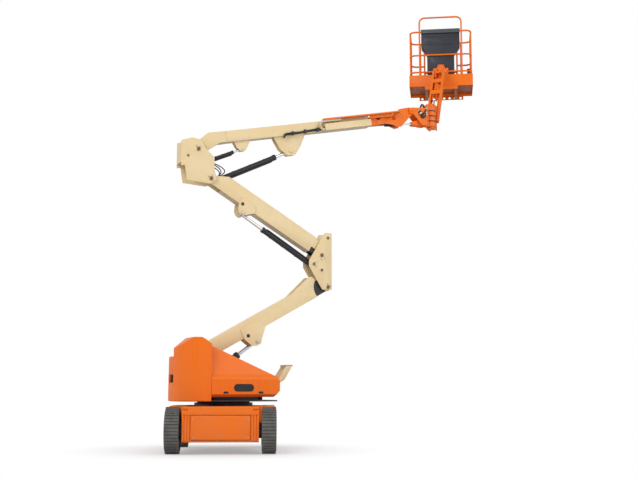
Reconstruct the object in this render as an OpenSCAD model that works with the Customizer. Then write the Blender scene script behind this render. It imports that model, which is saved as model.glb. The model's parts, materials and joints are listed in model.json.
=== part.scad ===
// Electric articulating boom lift: chassis on four wheels, turntable, two linked
// tower booms, telescoping main boom, swinging jib and work platform.
// Millimetres. X runs across the chassis, Y along it, Z up from the floor.

/* [Stance] */
// turn of the boom plane about the slewing axis, degrees
boom_turn = 20; // [0:1:45]
// lower tower boom angle, degrees
lower_angle = 29.3; // [20:0.1:40]
// upper tower boom angle, degrees
upper_angle = 30.5; // [20:0.1:40]
// main boom angle, degrees
main_angle = 11.6; // [4:0.1:30]
// jib swing from the boom plane, degrees
jib_turn = 44; // [0:1:60]
// jib lift angle, degrees
jib_angle = 65; // [50:1:75]
// platform turn on the jib, degrees
platform_turn = 15.5; // [0:0.5:30]

/* [Chassis] */
// distance between axles
wheelbase = 2000; // [1900:10:2100]
// half the distance between wheel centres
track_half = 760; // [755:5:790]
// deck height
deck_z = 740; // [730:5:760]
// deck plate thickness
deck_t = 14; // [10:1:18]
// side and end wall thickness
wall_t = 10; // [8:1:14]
// drive end half width
drive_half = 600; // [580:5:600]
// drive end reach from the centre
drive_reach = 1260; // [1230:5:1300]
// drive end ground clearance
drive_low = 190; // [170:5:230]
// middle box half width
mid_half = 860; // [830:5:880]
// middle box reach toward the drive end
mid_near = 560; // [500:5:580]
// middle box reach toward the steer end
mid_far = 430; // [380:5:440]
// middle box underside
mid_low = 290; // [260:5:340]
// steer end half width
steer_half = 370; // [330:5:380]
// steer end underside
steer_low = 440; // [440:1:450]
// tie-down lug hole radius
tie_r = 22; // [18:1:26]
// tie-down lug thickness
tie_t = 24; // [18:1:30]
// tie-down lug reach
tie_reach = 70; // [60:1:80]
// end cover thickness
cover_t = 22; // [16:1:24]
// end cover half width
cover_half = 465; // [440:5:470]
// slot beside the end cover
cover_slot = 14; // [10:1:18]
// fascia height over the end cover
fascia_h = 128; // [120:1:130]
// corner pocket width
pocket_w = 90; // [80:1:100]
// battery block length
battery_len = 860; // [700:10:900]
// battery block height
battery_h = 330; // [280:5:360]
// battery block width
battery_w = 210; // [180:5:220]

/* [Wheels] */
// tyre radius over the lugs
tyre_r = 367.5; // [360:0.5:370]
// tyre width
tyre_w = 230; // [200:5:235]
// rim seat radius
rim_r = 228; // [215:1:240]
// rim wall thickness
rim_t = 14; // [10:1:20]
// hub radius
hub_r = 82; // [72:1:95]
// spindle radius
spindle_r = 40; // [34:1:46]
// drive hub radius
drive_hub_r = 125; // [110:1:140]
// drive hub length
drive_hub_len = 85; // [75:1:92]
// kingpin distance inside the wheel centre
king_in = 200; // [195:1:205]
// kingpin radius
king_r = 22; // [18:1:26]
// steer axle height
axle_h = 120; // [100:1:130]
// steering knuckle plate thickness
knuckle_t = 25; // [20:1:30]
// steering arm length
arm_len = 190; // [170:5:210]
// number of tread lugs
lug_count = 44; // [36:1:48]
// tread lug depth
lug_depth = 16; // [10:1:18]
// number of wheel hand holes
hole_count = 6; // [5:1:8]
// wheel hand hole radius
hole_r = 24; // [18:1:28]

/* [Turntable] */
// slewing ring radius
ring_r = 490; // [470:5:510]
// slewing ring height
ring_h = 50; // [45:1:55]
// turning gap over the ring
slew_gap = 5; // [5:0.5:8]
// turntable base height over the deck
table_rise = 72; // [70:1:80]
// turntable base thickness
table_t = 23; // [18:1:28]
// side cover half width
hood_half = 750; // [740:5:760]
// side cover inner edge
hood_in = 235; // [225:1:260]
// side cover back edge
hood_back = 446; // [440:1:455]
// side cover front edge
hood_nose = 730; // [700:5:760]
// side cover lower edge
hood_low = 885; // [875:1:900]
// side cover top at the back
hood_top = 1735; // [1700:5:1750]
// side cover top at the front
hood_front_top = 1215; // [1180:5:1240]
// cover wall thickness
hood_t = 9; // [7:1:12]
// bulkhead thickness under the side covers
bulk_t = 12; // [10:1:14]
// side cover crease height
crease_z = 1195; // [1180:5:1210]
// side cover lean above the crease
hood_lean = 170; // [140:5:190]
// counterweight pocket half width
vent_half = 170; // [140:5:190]
// counterweight pocket underside
vent_z = 1120; // [1100:5:1140]
// counterweight pocket height
vent_h = 128; // [110:1:140]
// counterweight pocket depth
vent_d = 85; // [75:1:95]
// boom rest reach
rest_reach = 570; // [550:5:590]
// counterweight radius
tail_r = 925; // [905:5:935]
// counterweight top
tail_top = 1550; // [1520:5:1560]
// tail cover radius
cap_r = 815; // [810:1:830]
// tail cover peak height
cap_top = 1855; // [1830:5:1880]
// slot for the lower boom, half width
slot_half = 190; // [185:1:200]
// pivot plate half spacing
cheek_half = 150; // [146:1:156]
// pivot plate thickness
cheek_t = 20; // [16:1:24]
// lower boom foot pin, along the boom plane
foot_s = -650; // [-670:5:-630]
// lower boom foot pin height
foot_z = 1395; // [1385:5:1410]
// boom rest top height
rest_z = 1400; // [1380:5:1405]

/* [Tower] */
// lower boom length between pins
lower_len = 2882; // [2860:2:2900]
// lower boom depth
lower_h = 250; // [235:1:260]
// lower boom half width
lower_half = 105; // [95:1:110]
// lower boom axis over its pin line
lower_lift = 63; // [55:1:70]
// boom wall thickness
boom_t = 9; // [7:1:12]
// knuckle pin set-back
knuckle_back = 120; // [110:1:130]
// knuckle pin rise
knuckle_rise = 565; // [555:1:580]
// knuckle plate half spacing
knuckle_half = 130; // [126:1:140]
// knuckle plate thickness
plate_t = 16; // [12:1:20]
// knuckle width
knuckle_w = 435; // [420:1:450]
// knuckle height
knuckle_h = 1020; // [1000:5:1040]
// boom end plate thickness
end_t = 14; // [12:1:16]
// pin boss radius
boss_r = 92; // [86:1:96]
// ram lug half spacing
lug_half = 58; // [56:1:60]
// lower lift ram radius
lower_ram_r = 54; // [48:1:55]
// upper lift ram radius
upper_ram_r = 46; // [42:1:50]
// boom end opening radius
mouth_r = 255; // [235:5:265]
// upper boom length between pins
upper_len = 2399; // [2380:1:2420]
// upper boom depth
upper_h = 290; // [275:1:300]
// upper boom axis over its pin line
upper_lift = 84; // [76:1:92]
// main pin radius
pin_r = 35; // [30:1:40]
// running gap on pins
fit_gap = 0.3; // [0.3:0.05:0.5]

/* [Main boom] */
// main boom pin set-back on the upright
main_back = 235; // [225:1:245]
// main boom pin rise on the upright
main_rise = 499; // [490:1:510]
// main boom axis over its pin
main_lift = 173; // [165:1:180]
// base tube rear end
main_start = 300; // [280:5:320]
// base tube front end
main_end = 3388; // [3360:4:3420]
// base tube depth
main_h = 195; // [188:1:202]
// base tube half width
main_half = 85; // [82:1:90]
// fly tube depth
fly_h = 158; // [150:1:162]
// fly tube half width
fly_half = 67; // [62:1:69]
// fly tube rear end
fly_start = 1650; // [1600:10:1700]
// level pin along the boom
level_x = 4333; // [4320:1:4350]
// level pin over the boom pin line
level_w = 287; // [280:1:294]
// wear pad length
pad_len = 120; // [80:5:160]
// cable tray width
tray_w = 96; // [88:1:104]
// cable tray depth
tray_h = 120; // [110:1:130]
// cable chain bend radius
chain_r = 92; // [88:1:96]
// main lift ram radius
main_ram_r = 46; // [42:1:48]
// levelling ram radius
level_ram_r = 30; // [26:1:32]

/* [Jib and platform] */
// swing axis ahead of the level pin
swing_ahead = 470; // [460:2:480]
// jib foot pin ahead of the swing axis
jib_foot = 120; // [115:1:130]
// jib foot pin below the level pin
jib_drop = 90; // [80:1:100]
// jib length between pins
jib_len = 1240; // [1220:5:1260]
// jib half spacing of the side bars
jib_half = 85; // [80:1:90]
// jib side bar thickness
jib_t = 36; // [30:1:38]
// jib side bar depth
jib_h = 90; // [80:1:100]
// levelling link drop below the jib pins
link_drop = 140; // [130:1:150]
// jib ram radius
jib_ram_r = 26; // [22:1:28]
// jib ram offset from the middle of the jib
jib_ram_side = 22; // [20:1:24]
// jib swing actuator height
rotor_h = 420; // [400:5:440]
// jib swing actuator radius
swing_r = 90; // [84:1:92]
// jib swing shaft radius
swing_shaft_r = 45; // [40:1:48]
// platform rotator ahead of the jib head pin
rotor_ahead = 135; // [130:1:145]
// rotator radius
rotor_r = 78; // [70:1:84]
// platform near side ahead of the rotator
plat_ahead = 225; // [220:1:240]
// platform depth
plat_d = 800; // [760:5:840]
// platform half length
plat_half = 640; // [600:5:660]
// platform floor below the jib head pin
plat_drop = 115; // [105:1:125]
// rail height over the floor
rail_h = 1100; // [1050:5:1150]
// arch height over the top rail
arch_h = 300; // [260:5:320]
// rail tube radius
rail_r = 17; // [15:0.5:20]
// toe board height
toe_h = 180; // [160:5:190]
// bend radius of the rails
corner_r = 110; // [100:5:120]
// half spacing of the arch posts
arch_y = 425; // [415:5:440]
// half spacing of the gate posts
gate_y = 340; // [320:5:360]
// platform sheet thickness
skin_t = 6; // [5:0.5:8]
// support beam depth
beam_h = 72; // [66:1:78]
// support beam half width
beam_half = 30; // [26:1:34]
// half spacing of the support beams
beam_y = 300; // [280:5:320]
// number of holes in a support beam
beam_holes = 7; // [5:1:8]
// console half width at the head
console_half = 390; // [370:5:395]
// console half width at the foot
console_low_half = 275; // [260:5:290]
// console depth
console_d = 170; // [150:5:190]

/* [Hidden] */
// cut overlap
cut = 1;
$fn = 48;

// pins of the tower in the boom plane, [along, up]
lower_foot = [foot_s, foot_z];
lower_head = lower_foot + turned([lower_len, 0], lower_angle);
upper_foot = lower_head + [-knuckle_back, knuckle_rise];
upper_head = upper_foot + turned([-upper_len, 0], -upper_angle);
main_foot = upper_head + [-main_back, main_rise];
level_pin = main_foot + turned([level_x, level_w], main_angle);
swing_s = level_pin[0] + swing_ahead;

// ram pins as shares of the booms that carry them
lower_lug_share = [0.438, -0.885];
upper_lug_share = [0.3285, -0.616];
main_lug_share = [0.5106, -1.041];
master_lug_share = [0.2468, -0.333];
slave_foot_share = [1.092, 0.564];
lower_ram_share = [0.36, -1.54];
upper_ram_share = [-2.275, 0.7115];
main_ram_share = [0.498, -0.018];
master_ram_share = [0.932, -0.3186];
slave_drop_share = [0.128, -0.489];
lower_lug = [lower_len * lower_lug_share[0], lower_h * lower_lug_share[1]];
upper_lug = [upper_len * upper_lug_share[0], upper_h * upper_lug_share[1]];
main_lug = [main_end * main_lug_share[0], main_h * main_lug_share[1]];
master_lug = [main_end * master_lug_share[0], main_h * master_lug_share[1]];
slave_foot = [main_end * slave_foot_share[0], main_h * slave_foot_share[1]];
lower_ram = lower_foot + lower_h * lower_ram_share;
upper_ram = lower_head + [knuckle_back * upper_ram_share[0], knuckle_rise * upper_ram_share[1]];
main_ram = upper_head + [main_back * main_ram_share[0], main_rise * main_ram_share[1]];
master_ram = main_foot + [main_back * master_ram_share[0], main_rise * master_ram_share[1]];
slave_drop = swing_ahead * slave_drop_share;
lower_ram_end = lower_foot + turned(lower_lug, lower_angle);
upper_ram_end = upper_head + turned(upper_lug, -upper_angle);
main_ram_end = main_foot + turned(main_lug, main_angle);
master_ram_end = main_foot + turned(master_lug, main_angle);
slave_ram = main_foot + turned(slave_foot, main_angle);
slave_ram_end = level_pin + slave_drop;

// jib pins in the jib plane
jib_foot_pin = [jib_foot, level_pin[1] - jib_drop];
jib_head_pin = jib_foot_pin + turned([jib_len, 0], jib_angle);
jib_ram_share = [0.19, -1.07];
jib_lug_share = 0.42;
jib_ram = jib_foot_pin + jib_foot * jib_ram_share;
jib_ram_end = jib_foot_pin + turned([jib_len * jib_lug_share, 0], jib_angle);
rotor_x = jib_head_pin[0] + rotor_ahead;
plat_z = jib_head_pin[1] - plat_drop;

// heights that follow from others
table_z = deck_z + table_rise;
table_top = table_z + table_t;
axle_z = tyre_r;
steer_reach_share = 0.61;
steer_reach = wheelbase * steer_reach_share;
king_x = track_half - king_in;

function turned(p, a) = [p[0] * cos(a) - p[1] * sin(a), p[0] * sin(a) + p[1] * cos(a)];
function scaled(shares, w, h) = [for (p = shares) [p[0] * w, p[1] * h]];
function placed(points, at) = [for (p = points) p + at];

// frames
module boom_side() rotate([0, 0, boom_turn]) children();
module jib_side() boom_side() translate([swing_s, 0, 0]) rotate([0, 0, jib_turn]) children();
module platform_side() jib_side() translate([rotor_x, 0, plat_z]) rotate([0, 0, platform_turn]) children();
module along(pin, angle) translate([pin[0], 0, pin[1]]) rotate([0, -angle, 0]) children();

// shapes drawn in the boom plane
module slab(thick, mid = 0) {
  translate([0, mid + thick / 2, 0])
    rotate([90, 0, 0])
      linear_extrude(thick)
        children();
}
module plate(points, thick, mid = 0) slab(thick, mid) polygon(points);
module pair(points, thick, half) {
  for (side = [-1, 1])
    plate(points, thick, side * (half + thick / 2));
}
module cross_pin(pin, r, len) {
  translate([pin[0], len / 2, pin[1]])
    rotate([90, 0, 0])
      cylinder(r = r, h = len);
}
module bar(x0, x1, half, z0, z1) {
  translate([x0, -half, z0])
    cube([x1 - x0, 2 * half, z1 - z0]);
}
module tube(x0, x1, half, z0, z1, t) {
  difference() {
    bar(x0, x1, half, z0, z1);
    bar(x0 - cut, x1 + cut, half - t, z0 + t, z1 - t);
  }
}
module rod_x(x0, x1, r) translate([x0, 0, 0]) rotate([0, 90, 0]) cylinder(r = r, h = x1 - x0);

// hydraulic ram between two pins of the boom plane
bore_share = 0.59;
eye_share = 0.9;
rod_eye_share = 0.88;
gland_share = 0.15;
ram_pin_share = 0.75;
small_pin_share = 0.5;
slim_pin_share = 0.45;
function gap_len(a, b) = norm(b - a);
function gap_angle(a, b) = atan2(b[1] - a[1], b[0] - a[0]);
module ram_barrel(a, b, r, reach_share, pin) {
  reach = gap_len(a, b) * reach_share;
  along(a, gap_angle(a, b))
    difference() {
      union() {
        cross_pin([0, 0], r, 2 * r * eye_share);
        rod_x(0, reach, r);
        rod_x(reach - r, reach, r + r * gland_share);
      }
      rod_x(r + pin, reach + cut, r * bore_share + fit_gap);
      cross_pin([0, 0], pin + fit_gap, 2 * r + 2 * cut);
    }
}
module ram_rod(a, b, r, from_share) {
  along(a, gap_angle(a, b)) {
    rod_x(gap_len(a, b) * from_share, gap_len(a, b), r * bore_share);
    cross_pin([gap_len(a, b), 0], r * rod_eye_share, 2 * r * rod_eye_share * eye_share);
  }
}

// chassis
module open_box(half, y0, y1, z0) {
  difference() {
    translate([-half, y0, z0])
      cube([2 * half, y1 - y0, deck_z - z0]);
    translate([-half + wall_t, y0 + wall_t, z0 - cut])
      cube([2 * (half - wall_t), y1 - y0 - 2 * wall_t, deck_z - deck_t - z0 + cut]);
  }
}
module chassis_frame() {
  color("#EB7023") {
    open_box(drive_half, -drive_reach, -mid_near + wall_t, drive_low);
    open_box(mid_half, -mid_near, mid_far, mid_low);
    open_box(steer_half, mid_far - wall_t, steer_reach, steer_low);
    drive_face();
    for (side = [-1, 1])
      side_panel(side);
    for (side = [-1, 1])
      tie_lug(side);
  }
}
// raised panel over each battery bay, with a hand slot
panel_share = 0.82;
slot_share = 0.2;
module side_panel(side) {
  h = (deck_z - mid_low) * panel_share;
  len = (mid_near + mid_far) * panel_share;
  translate([side * mid_half, (mid_far - mid_near) / 2, (deck_z + mid_low) / 2])
    difference() {
      translate([-wall_t, -len / 2, -h / 2])
        cube([2 * wall_t, len, h]);
      translate([-2 * wall_t, -len * slot_share / 2, h * slot_share])
        cube([4 * wall_t, len * slot_share, wall_t * 4]);
    }
}
module tie_lug(side) {
  translate([side * (steer_half - tie_reach), steer_reach, steer_low])
    difference() {
      union() {
        translate([-tie_reach, -cut, 0])
          cube([2 * tie_reach, tie_reach + cut, tie_t]);
        translate([0, tie_reach, 0])
          cylinder(r = tie_reach, h = tie_t);
      }
      translate([0, tie_reach, -cut])
        cylinder(r = tie_r, h = tie_t + 2 * cut);
    }
}
// drive end: fascia with corner pockets over a bevelled cover between two ribbed wings
seam_share = 0.25;
cover_h = deck_z - fascia_h - drive_low - cover_t - cover_slot * seam_share;
bevel_share = 0.12;
rib_share = 0.24;
module drive_face() {
  low = drive_low + cover_t;
  wing = drive_half - cover_half - cover_slot;
  translate([-drive_half, -drive_reach - cover_t, deck_z - fascia_h])
    difference() {
      cube([2 * drive_half, cover_t + cut, fascia_h]);
      for (x = [-cut, 2 * drive_half - pocket_w])
        translate([x, -cut, fascia_h / 2])
          cube([pocket_w + cut, cover_t, fascia_h / 4]);
    }
  for (side = [-1, 1])
    translate([side * (cover_half + cover_slot + wing / 2), -drive_reach, low]) {
      translate([-wing / 2, -cover_t / 2, 0])
        cube([wing, cover_t / 2 + cut, deck_z - fascia_h - low + cut]);
      for (x = [-wing / 2, -wing * rib_share / 2, wing / 2 - wing * rib_share])
        translate([x, -cover_t, 0])
          cube([wing * rib_share, cover_t, cover_h]);
    }
}
module end_cover() {
  color("#EB7023")
    translate([-cover_half, -drive_reach, drive_low + cover_t])
      rotate([90, 0, 90])
        linear_extrude(2 * cover_half)
          polygon([[0, 0], [-cover_t, cover_h * bevel_share / 2], [-cover_t, cover_h * (1 - bevel_share)],
                   [-cover_t / 2, cover_h], [0, cover_h]]);
}
module battery_blocks() {
  color("#2A2C31")
    for (side = [-1, 1])
      translate([side * (mid_half - wall_t - battery_w / 2) - battery_w / 2, -battery_len / 2 - wall_t,
                 mid_low])
        cube([battery_w, battery_len, battery_h]);
}
module drive_hubs() {
  color("#33353A")
    for (side = [-1, 1])
      translate([side * drive_half, -wheelbase / 2, axle_z])
        rotate([0, side * 90, 0]) {
          cylinder(r = drive_hub_r, h = drive_hub_len);
          cylinder(r = spindle_r, h = track_half - drive_half + spindle_r);
        }
}
module steer_axle() {
  color("#33353A")
    difference() {
      union() {
        translate([-king_x, wheelbase / 2 - axle_h / 2, steer_low - axle_h])
          cube([2 * king_x, axle_h, axle_h]);
        for (side = [-1, 1])
          translate([side * king_x, wheelbase / 2, steer_low - axle_h])
            cylinder(r = axle_h / 2, h = axle_h);
      }
      for (side = [-1, 1])
        translate([side * king_x, wheelbase / 2, steer_low - axle_h - cut])
          cylinder(r = king_r + fit_gap, h = axle_h + 2 * cut);
    }
}
module slew_ring() {
  color("#2A2C31")
    translate([0, 0, deck_z])
      difference() {
        cylinder(r = ring_r, h = ring_h, $fn = 96);
        translate([0, 0, -cut])
          cylinder(r = ring_r * ring_bore_share, h = ring_h + 2 * cut, $fn = 96);
      }
}
ring_bore_share = 0.78;

// steering
module steer_knuckle(side) {
  color("#33353A")
    translate([side * king_x, wheelbase / 2, 0])
      mirror([side < 0 ? 1 : 0, 0, 0]) {
        for (z = [steer_low + slew_gap, steer_low - axle_h - slew_gap - knuckle_t])
          translate([-axle_h / 2, -axle_h / 2, z])
            cube([king_in - knuckle_t, axle_h, knuckle_t]);
        translate([axle_h / 2 + slew_gap, -axle_h / 2, steer_low - axle_h - slew_gap - knuckle_t])
          cube([king_in - knuckle_t - axle_h - slew_gap, axle_h, axle_h + 2 * (slew_gap + knuckle_t)]);
        translate([0, 0, steer_low - axle_h - slew_gap - knuckle_t])
          cylinder(r = king_r, h = axle_h + 2 * (slew_gap + knuckle_t));
        translate([axle_h / 2 + slew_gap, 0, axle_z])
          rotate([0, 90, 0])
            cylinder(r = spindle_r, h = king_in - axle_h / 2 - slew_gap + spindle_r);
        translate([-axle_h / 4, -arm_len, steer_low - axle_h - slew_gap - knuckle_t])
          cube([axle_h / 2, arm_len, knuckle_t]);
      }
}
module knuckle_left() steer_knuckle(-1);
module knuckle_right() steer_knuckle(1);
module tie_rod() {
  color("#33353A")
    translate([-king_x, wheelbase / 2 - arm_len + axle_h / 4,
               steer_low - axle_h - slew_gap - fit_gap - 2 * knuckle_t]) {
      translate([0, -knuckle_t / 2, 0])
        cube([2 * king_x, knuckle_t, knuckle_t]);
      for (x = [0, 2 * king_x])
        translate([x, 0, 0])
          cylinder(r = knuckle_t, h = knuckle_t);
    }
}

// wheels
module at_wheel(side, end) {
  translate([side * track_half, end * wheelbase / 2, axle_z])
    rotate([0, side * 90, 0])
      children();
}
tyre_root = tyre_r - lug_depth;
function lug_ring() = [for (i = [0:lug_count - 1], k = [0:3])
  let (a = (i + lug_turns[k]) * 360 / lug_count, r = k == 1 || k == 2 ? tyre_r : tyre_root)
  [r * cos(a), r * sin(a)]];
lug_turns = [0, 0.12, 0.58, 0.7];
lug_w_share = 0.94;
module tyre(side, end) {
  color("#8E9094")
    at_wheel(side, end) {
      rotate_extrude($fn = 96)
        polygon([[rim_r + fit_gap, -tyre_w * bead_share], [tyre_r * wall_share, -tyre_w / 2],
                 [tyre_r * shoulder_share, -tyre_w / 2], [tyre_root, -tyre_w * tread_share],
                 [tyre_root, tyre_w * tread_share], [tyre_r * shoulder_share, tyre_w / 2],
                 [tyre_r * wall_share, tyre_w / 2], [rim_r + fit_gap, tyre_w * bead_share]]);
      difference() {
        linear_extrude(tyre_w * lug_w_share, center = true)
          polygon(lug_ring());
        cylinder(r = tyre_root - lug_depth, h = tyre_w, center = true, $fn = 96);
      }
    }
}
bead_share = 0.4;
wall_share = 0.78;
shoulder_share = 0.9;
tread_share = 0.42;
module rim(side, end) {
  color("#EB7023")
    at_wheel(side, end)
      difference() {
        union() {
          difference() {
            cylinder(r = rim_r, h = tyre_w * 2 * bead_share, center = true, $fn = 96);
            cylinder(r = rim_r - rim_t, h = tyre_w, center = true, $fn = 96);
          }
          cylinder(r = rim_r - rim_t / 2, h = rim_t, center = true, $fn = 96);
          translate([0, 0, -spindle_r])
            cylinder(r = hub_r, h = 2 * spindle_r + rim_t);
        }
        translate([0, 0, -tyre_w])
          cylinder(r = spindle_r + fit_gap, h = tyre_w + spindle_r + slew_gap);
        for (i = [1:hole_count])
          rotate([0, 0, i * 360 / hole_count])
            translate([(hub_r + rim_r) / 2, 0, -rim_t])
              cylinder(r = hole_r, h = 2 * rim_t, $fn = 24);
      }
}
module tyre_drive_left() tyre(-1, -1);
module tyre_drive_right() tyre(1, -1);
module tyre_steer_left() tyre(-1, 1);
module tyre_steer_right() tyre(1, 1);
module rim_drive_left() rim(-1, -1);
module rim_drive_right() rim(1, -1);
module rim_steer_left() rim(-1, 1);
module rim_steer_right() rim(1, 1);

// turntable
cheek_shares = [[-0.18, 0], [1, 0], [1, 0.32], [0.66, 0.34], [0.2, 0.38], [-0.02, 1], [-0.15, 1],
                [-0.2, 0.84], [-0.2, 0.1]];
module turntable_frame() {
  color("#33353A")
    boom_side() {
      translate([-hood_back - slew_gap, -hood_half + 2 * hood_t, table_z])
        cube([hood_back + slew_gap + hood_nose - 2 * cheek_t, 2 * hood_half - 4 * hood_t, table_t]);
      translate([foot_s - slot_half / 2, -slot_half + slew_gap, table_z])
        cube([-foot_s + slot_half / 2, 2 * (slot_half - slew_gap), table_t]);
      translate([0, 0, deck_z + ring_h + fit_gap])
        cylinder(r = ring_r * turn_share, h = table_z - deck_z - ring_h - fit_gap + cut, $fn = 96);
      pair(placed(scaled(cheek_shares, hood_nose - foot_s - slot_half, foot_z + slot_half / 2 - table_top),
                  [foot_s + slot_half / 2, table_top - cut]), cheek_t, cheek_half);
      pair([[slew_gap - hood_back, table_top - cut], [hood_nose * bulk_share, table_top - cut],
            [hood_nose * bulk_share, hood_line(hood_nose * bulk_share)],
            [slew_gap - hood_back, hood_line(slew_gap - hood_back)]], bulk_t, hood_in);
      cross_pin(lower_foot, pin_r, 2 * (cheek_half + cheek_t));
      cross_pin(lower_ram, pin_r * ram_pin_share, 2 * (cheek_half + cheek_t));
    }
}
turn_share = 0.9;
bulk_share = 0.6;
hood_shares = [[0, 0], [0.92, 0], [1, 0.12], [1, 0.31], [0.965, 0.388], [0, 1]];
hood_slope = (hood_shares[4][1] - 1) * (hood_top - hood_low) / (hood_shares[4][0] * (hood_back + hood_nose));
function hood_line(s) = hood_top + (s + hood_back + hood_t) * hood_slope - hood_t * drop_share - fit_gap;
drop_share = 1.2;
module counterweight() {
  color("#EB7023")
    boom_side()
      difference() {
        intersection() {
          translate([0, 0, table_z])
            cylinder(r = tail_r, h = tail_top - table_z, $fn = 96);
          translate([-tail_r, -hood_half, table_z])
            cube([tail_r - hood_back - slew_gap, 2 * hood_half, tail_top - table_z]);
        }
        translate([-cap_r + hood_t, -slot_half, table_z - cut])
          cube([tail_r, 2 * slot_half, tail_top - table_z + 2 * cut]);
        translate([-tail_r - cut, -vent_half, vent_z])
          cube([vent_d + cut, 2 * vent_half, vent_h]);
      }
}
cap_shares = [[0, 0], [0, 0.28], [0.32, 0.98], [0.6, 1], [1, 0.64], [1, 0]];
module tail_cap(inset) {
  intersection() {
    plate(placed(scaled(cap_shares, cap_r - hood_back - slew_gap, cap_top - tail_top - inset),
                 [-cap_r, tail_top]), 2 * (hood_half - inset));
    translate([0, 0, tail_top - cut])
      cylinder(r = cap_r - inset, h = cap_top, $fn = 96);
  }
}
module tail_covers() {
  color("#EB7023")
    boom_side()
      difference() {
        tail_cap(0);
        translate([0, 0, -cut])
          tail_cap(hood_t);
        translate([-tail_r, -slot_half, tail_top - 2 * cut])
          cube([tail_r, 2 * slot_half, cap_top]);
      }
}
module power_units() {
  color("#3A3C41")
    boom_side()
      for (side = [-1, 1])
        translate([-hood_back * unit_share, side * hood_half * unit_mid_share - hood_half * unit_w_share / 2,
                   table_top])
          cube([hood_back * 2 * unit_share, hood_half * unit_w_share, hood_half * unit_w_share]);
}
unit_share = 0.85;
unit_mid_share = 0.62;
unit_w_share = 0.5;
rest_shares = [[0, 0], [0.3, 0], [0.86, 0.45], [1.1, 1], [0.94, 1], [0.66, 0.45]];
module boom_rest() {
  color("#E8D0A0")
    boom_side() {
      pair(placed(scaled(rest_shares, rest_reach, rest_z - table_top - cheek_half),
                  [hood_nose - rest_reach * rest_root_share, table_top + cheek_half]),
           plate_t, cheek_half - plate_t);
      bar(hood_nose + rest_reach * rest_top_share, hood_nose + rest_reach * rest_tip_share, cheek_half,
          rest_z - cut, rest_z + plate_t);
    }
}
rest_root_share = 0.307;
rest_top_share = 0.6;
rest_tip_share = 0.825;

// side covers
module hood_block(inset) {
  w = hood_back + hood_nose;
  h = hood_top - hood_low;
  back = inset > 0 ? -hood_back - hood_t : -hood_back;
  intersection() {
    plate(placed(scaled(hood_shares, w, h), [back, hood_low - inset * drop_share]), hood_half - hood_in,
          (hood_half + hood_in) / 2 - inset);
    translate([-w, 0, -inset * drop_share])
      rotate([90, 0, 90])
        linear_extrude(2 * w)
          polygon([[hood_in - 2 * inset, hood_low - cut], [hood_half - inset - sill, hood_low - cut],
                   [hood_half - inset, hood_low + sill], [hood_half - inset, crease_z],
                   [hood_half - inset - sill, crease_z + sill], [hood_half - inset - hood_lean, hood_top],
                   [hood_in - 2 * inset, hood_top]]);
  }
}
sill_share = 0.26;
sill = hood_lean * sill_share;
module side_hood(side) {
  color("#EB7023")
    boom_side()
      mirror([0, side < 0 ? 1 : 0, 0])
        union() {
          difference() {
            hood_block(0);
            hood_block(hood_t);
          }
          translate([0, hood_in, 0])
            along([-hood_back, hood_top], atan(hood_slope))
              rod_x(2 * hood_t, hood_nose * hinge_share, hood_t);
        }
}
hinge_share = 1.4;
module near_hood() side_hood(-1);
module far_hood() side_hood(1);

// tower
module boss_pair(pin, r, inner, outer) {
  for (side = [-1, 1])
    translate([0, side * (inner + outer) / 2, 0])
      cross_pin(pin, r, outer - inner);
}
boss_share = 0.75;
lower_z0 = lower_lift - lower_h / 2;
lower_z1 = lower_lift + lower_h / 2;
upper_z0 = upper_lift - upper_h / 2;
upper_z1 = upper_lift + upper_h / 2;
lug_shares = [[-0.5, 1], [-0.36, 0.2], [-0.14, -0.28], [0.14, -0.28], [0.36, 0.2], [0.62, 1]];
module lug(pin, top, thick, half, head_r) {
  h = top - pin[1];
  pair(placed(scaled(lug_shares, 2 * h, h), pin), thick, half);
  boss_pair(pin, head_r, half + thick, half + 2 * thick);
}
// reinforcing plate on each flank of a tower boom, around its ram lug
doubler_shares = [[-1.1, 2], [-1.2, 0.9], [-0.85, 0.05], [-0.35, -0.36], [0.25, -0.36], [0.7, 0.15],
                  [1.6, 1], [1.1, 2]];
module doubler(pin, top, thick) {
  h = top - pin[1];
  pair(placed(scaled(doubler_shares, h, h), pin), thick, lower_half - cut);
}
// dark boot behind the open end of a tower boom
boot_share = 2;
boot_over_share = 1.16;
module boot_plates(pin_x, low, high) {
  for (side = [-1, 1])
    translate([0, side * (lower_half - end_t - end_t * boot_share / 2), 0])
      slab(end_t * boot_share)
        difference() {
          intersection() {
            translate([pin_x, 0])
              circle(r = mouth_r * boot_over_share);
            translate([pin_x - 2 * mouth_r, low])
              square([2 * mouth_r, high - low]);
          }
          translate([pin_x, 0])
            circle(r = boss_r * boss_share + fit_gap);
        }
}
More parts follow.
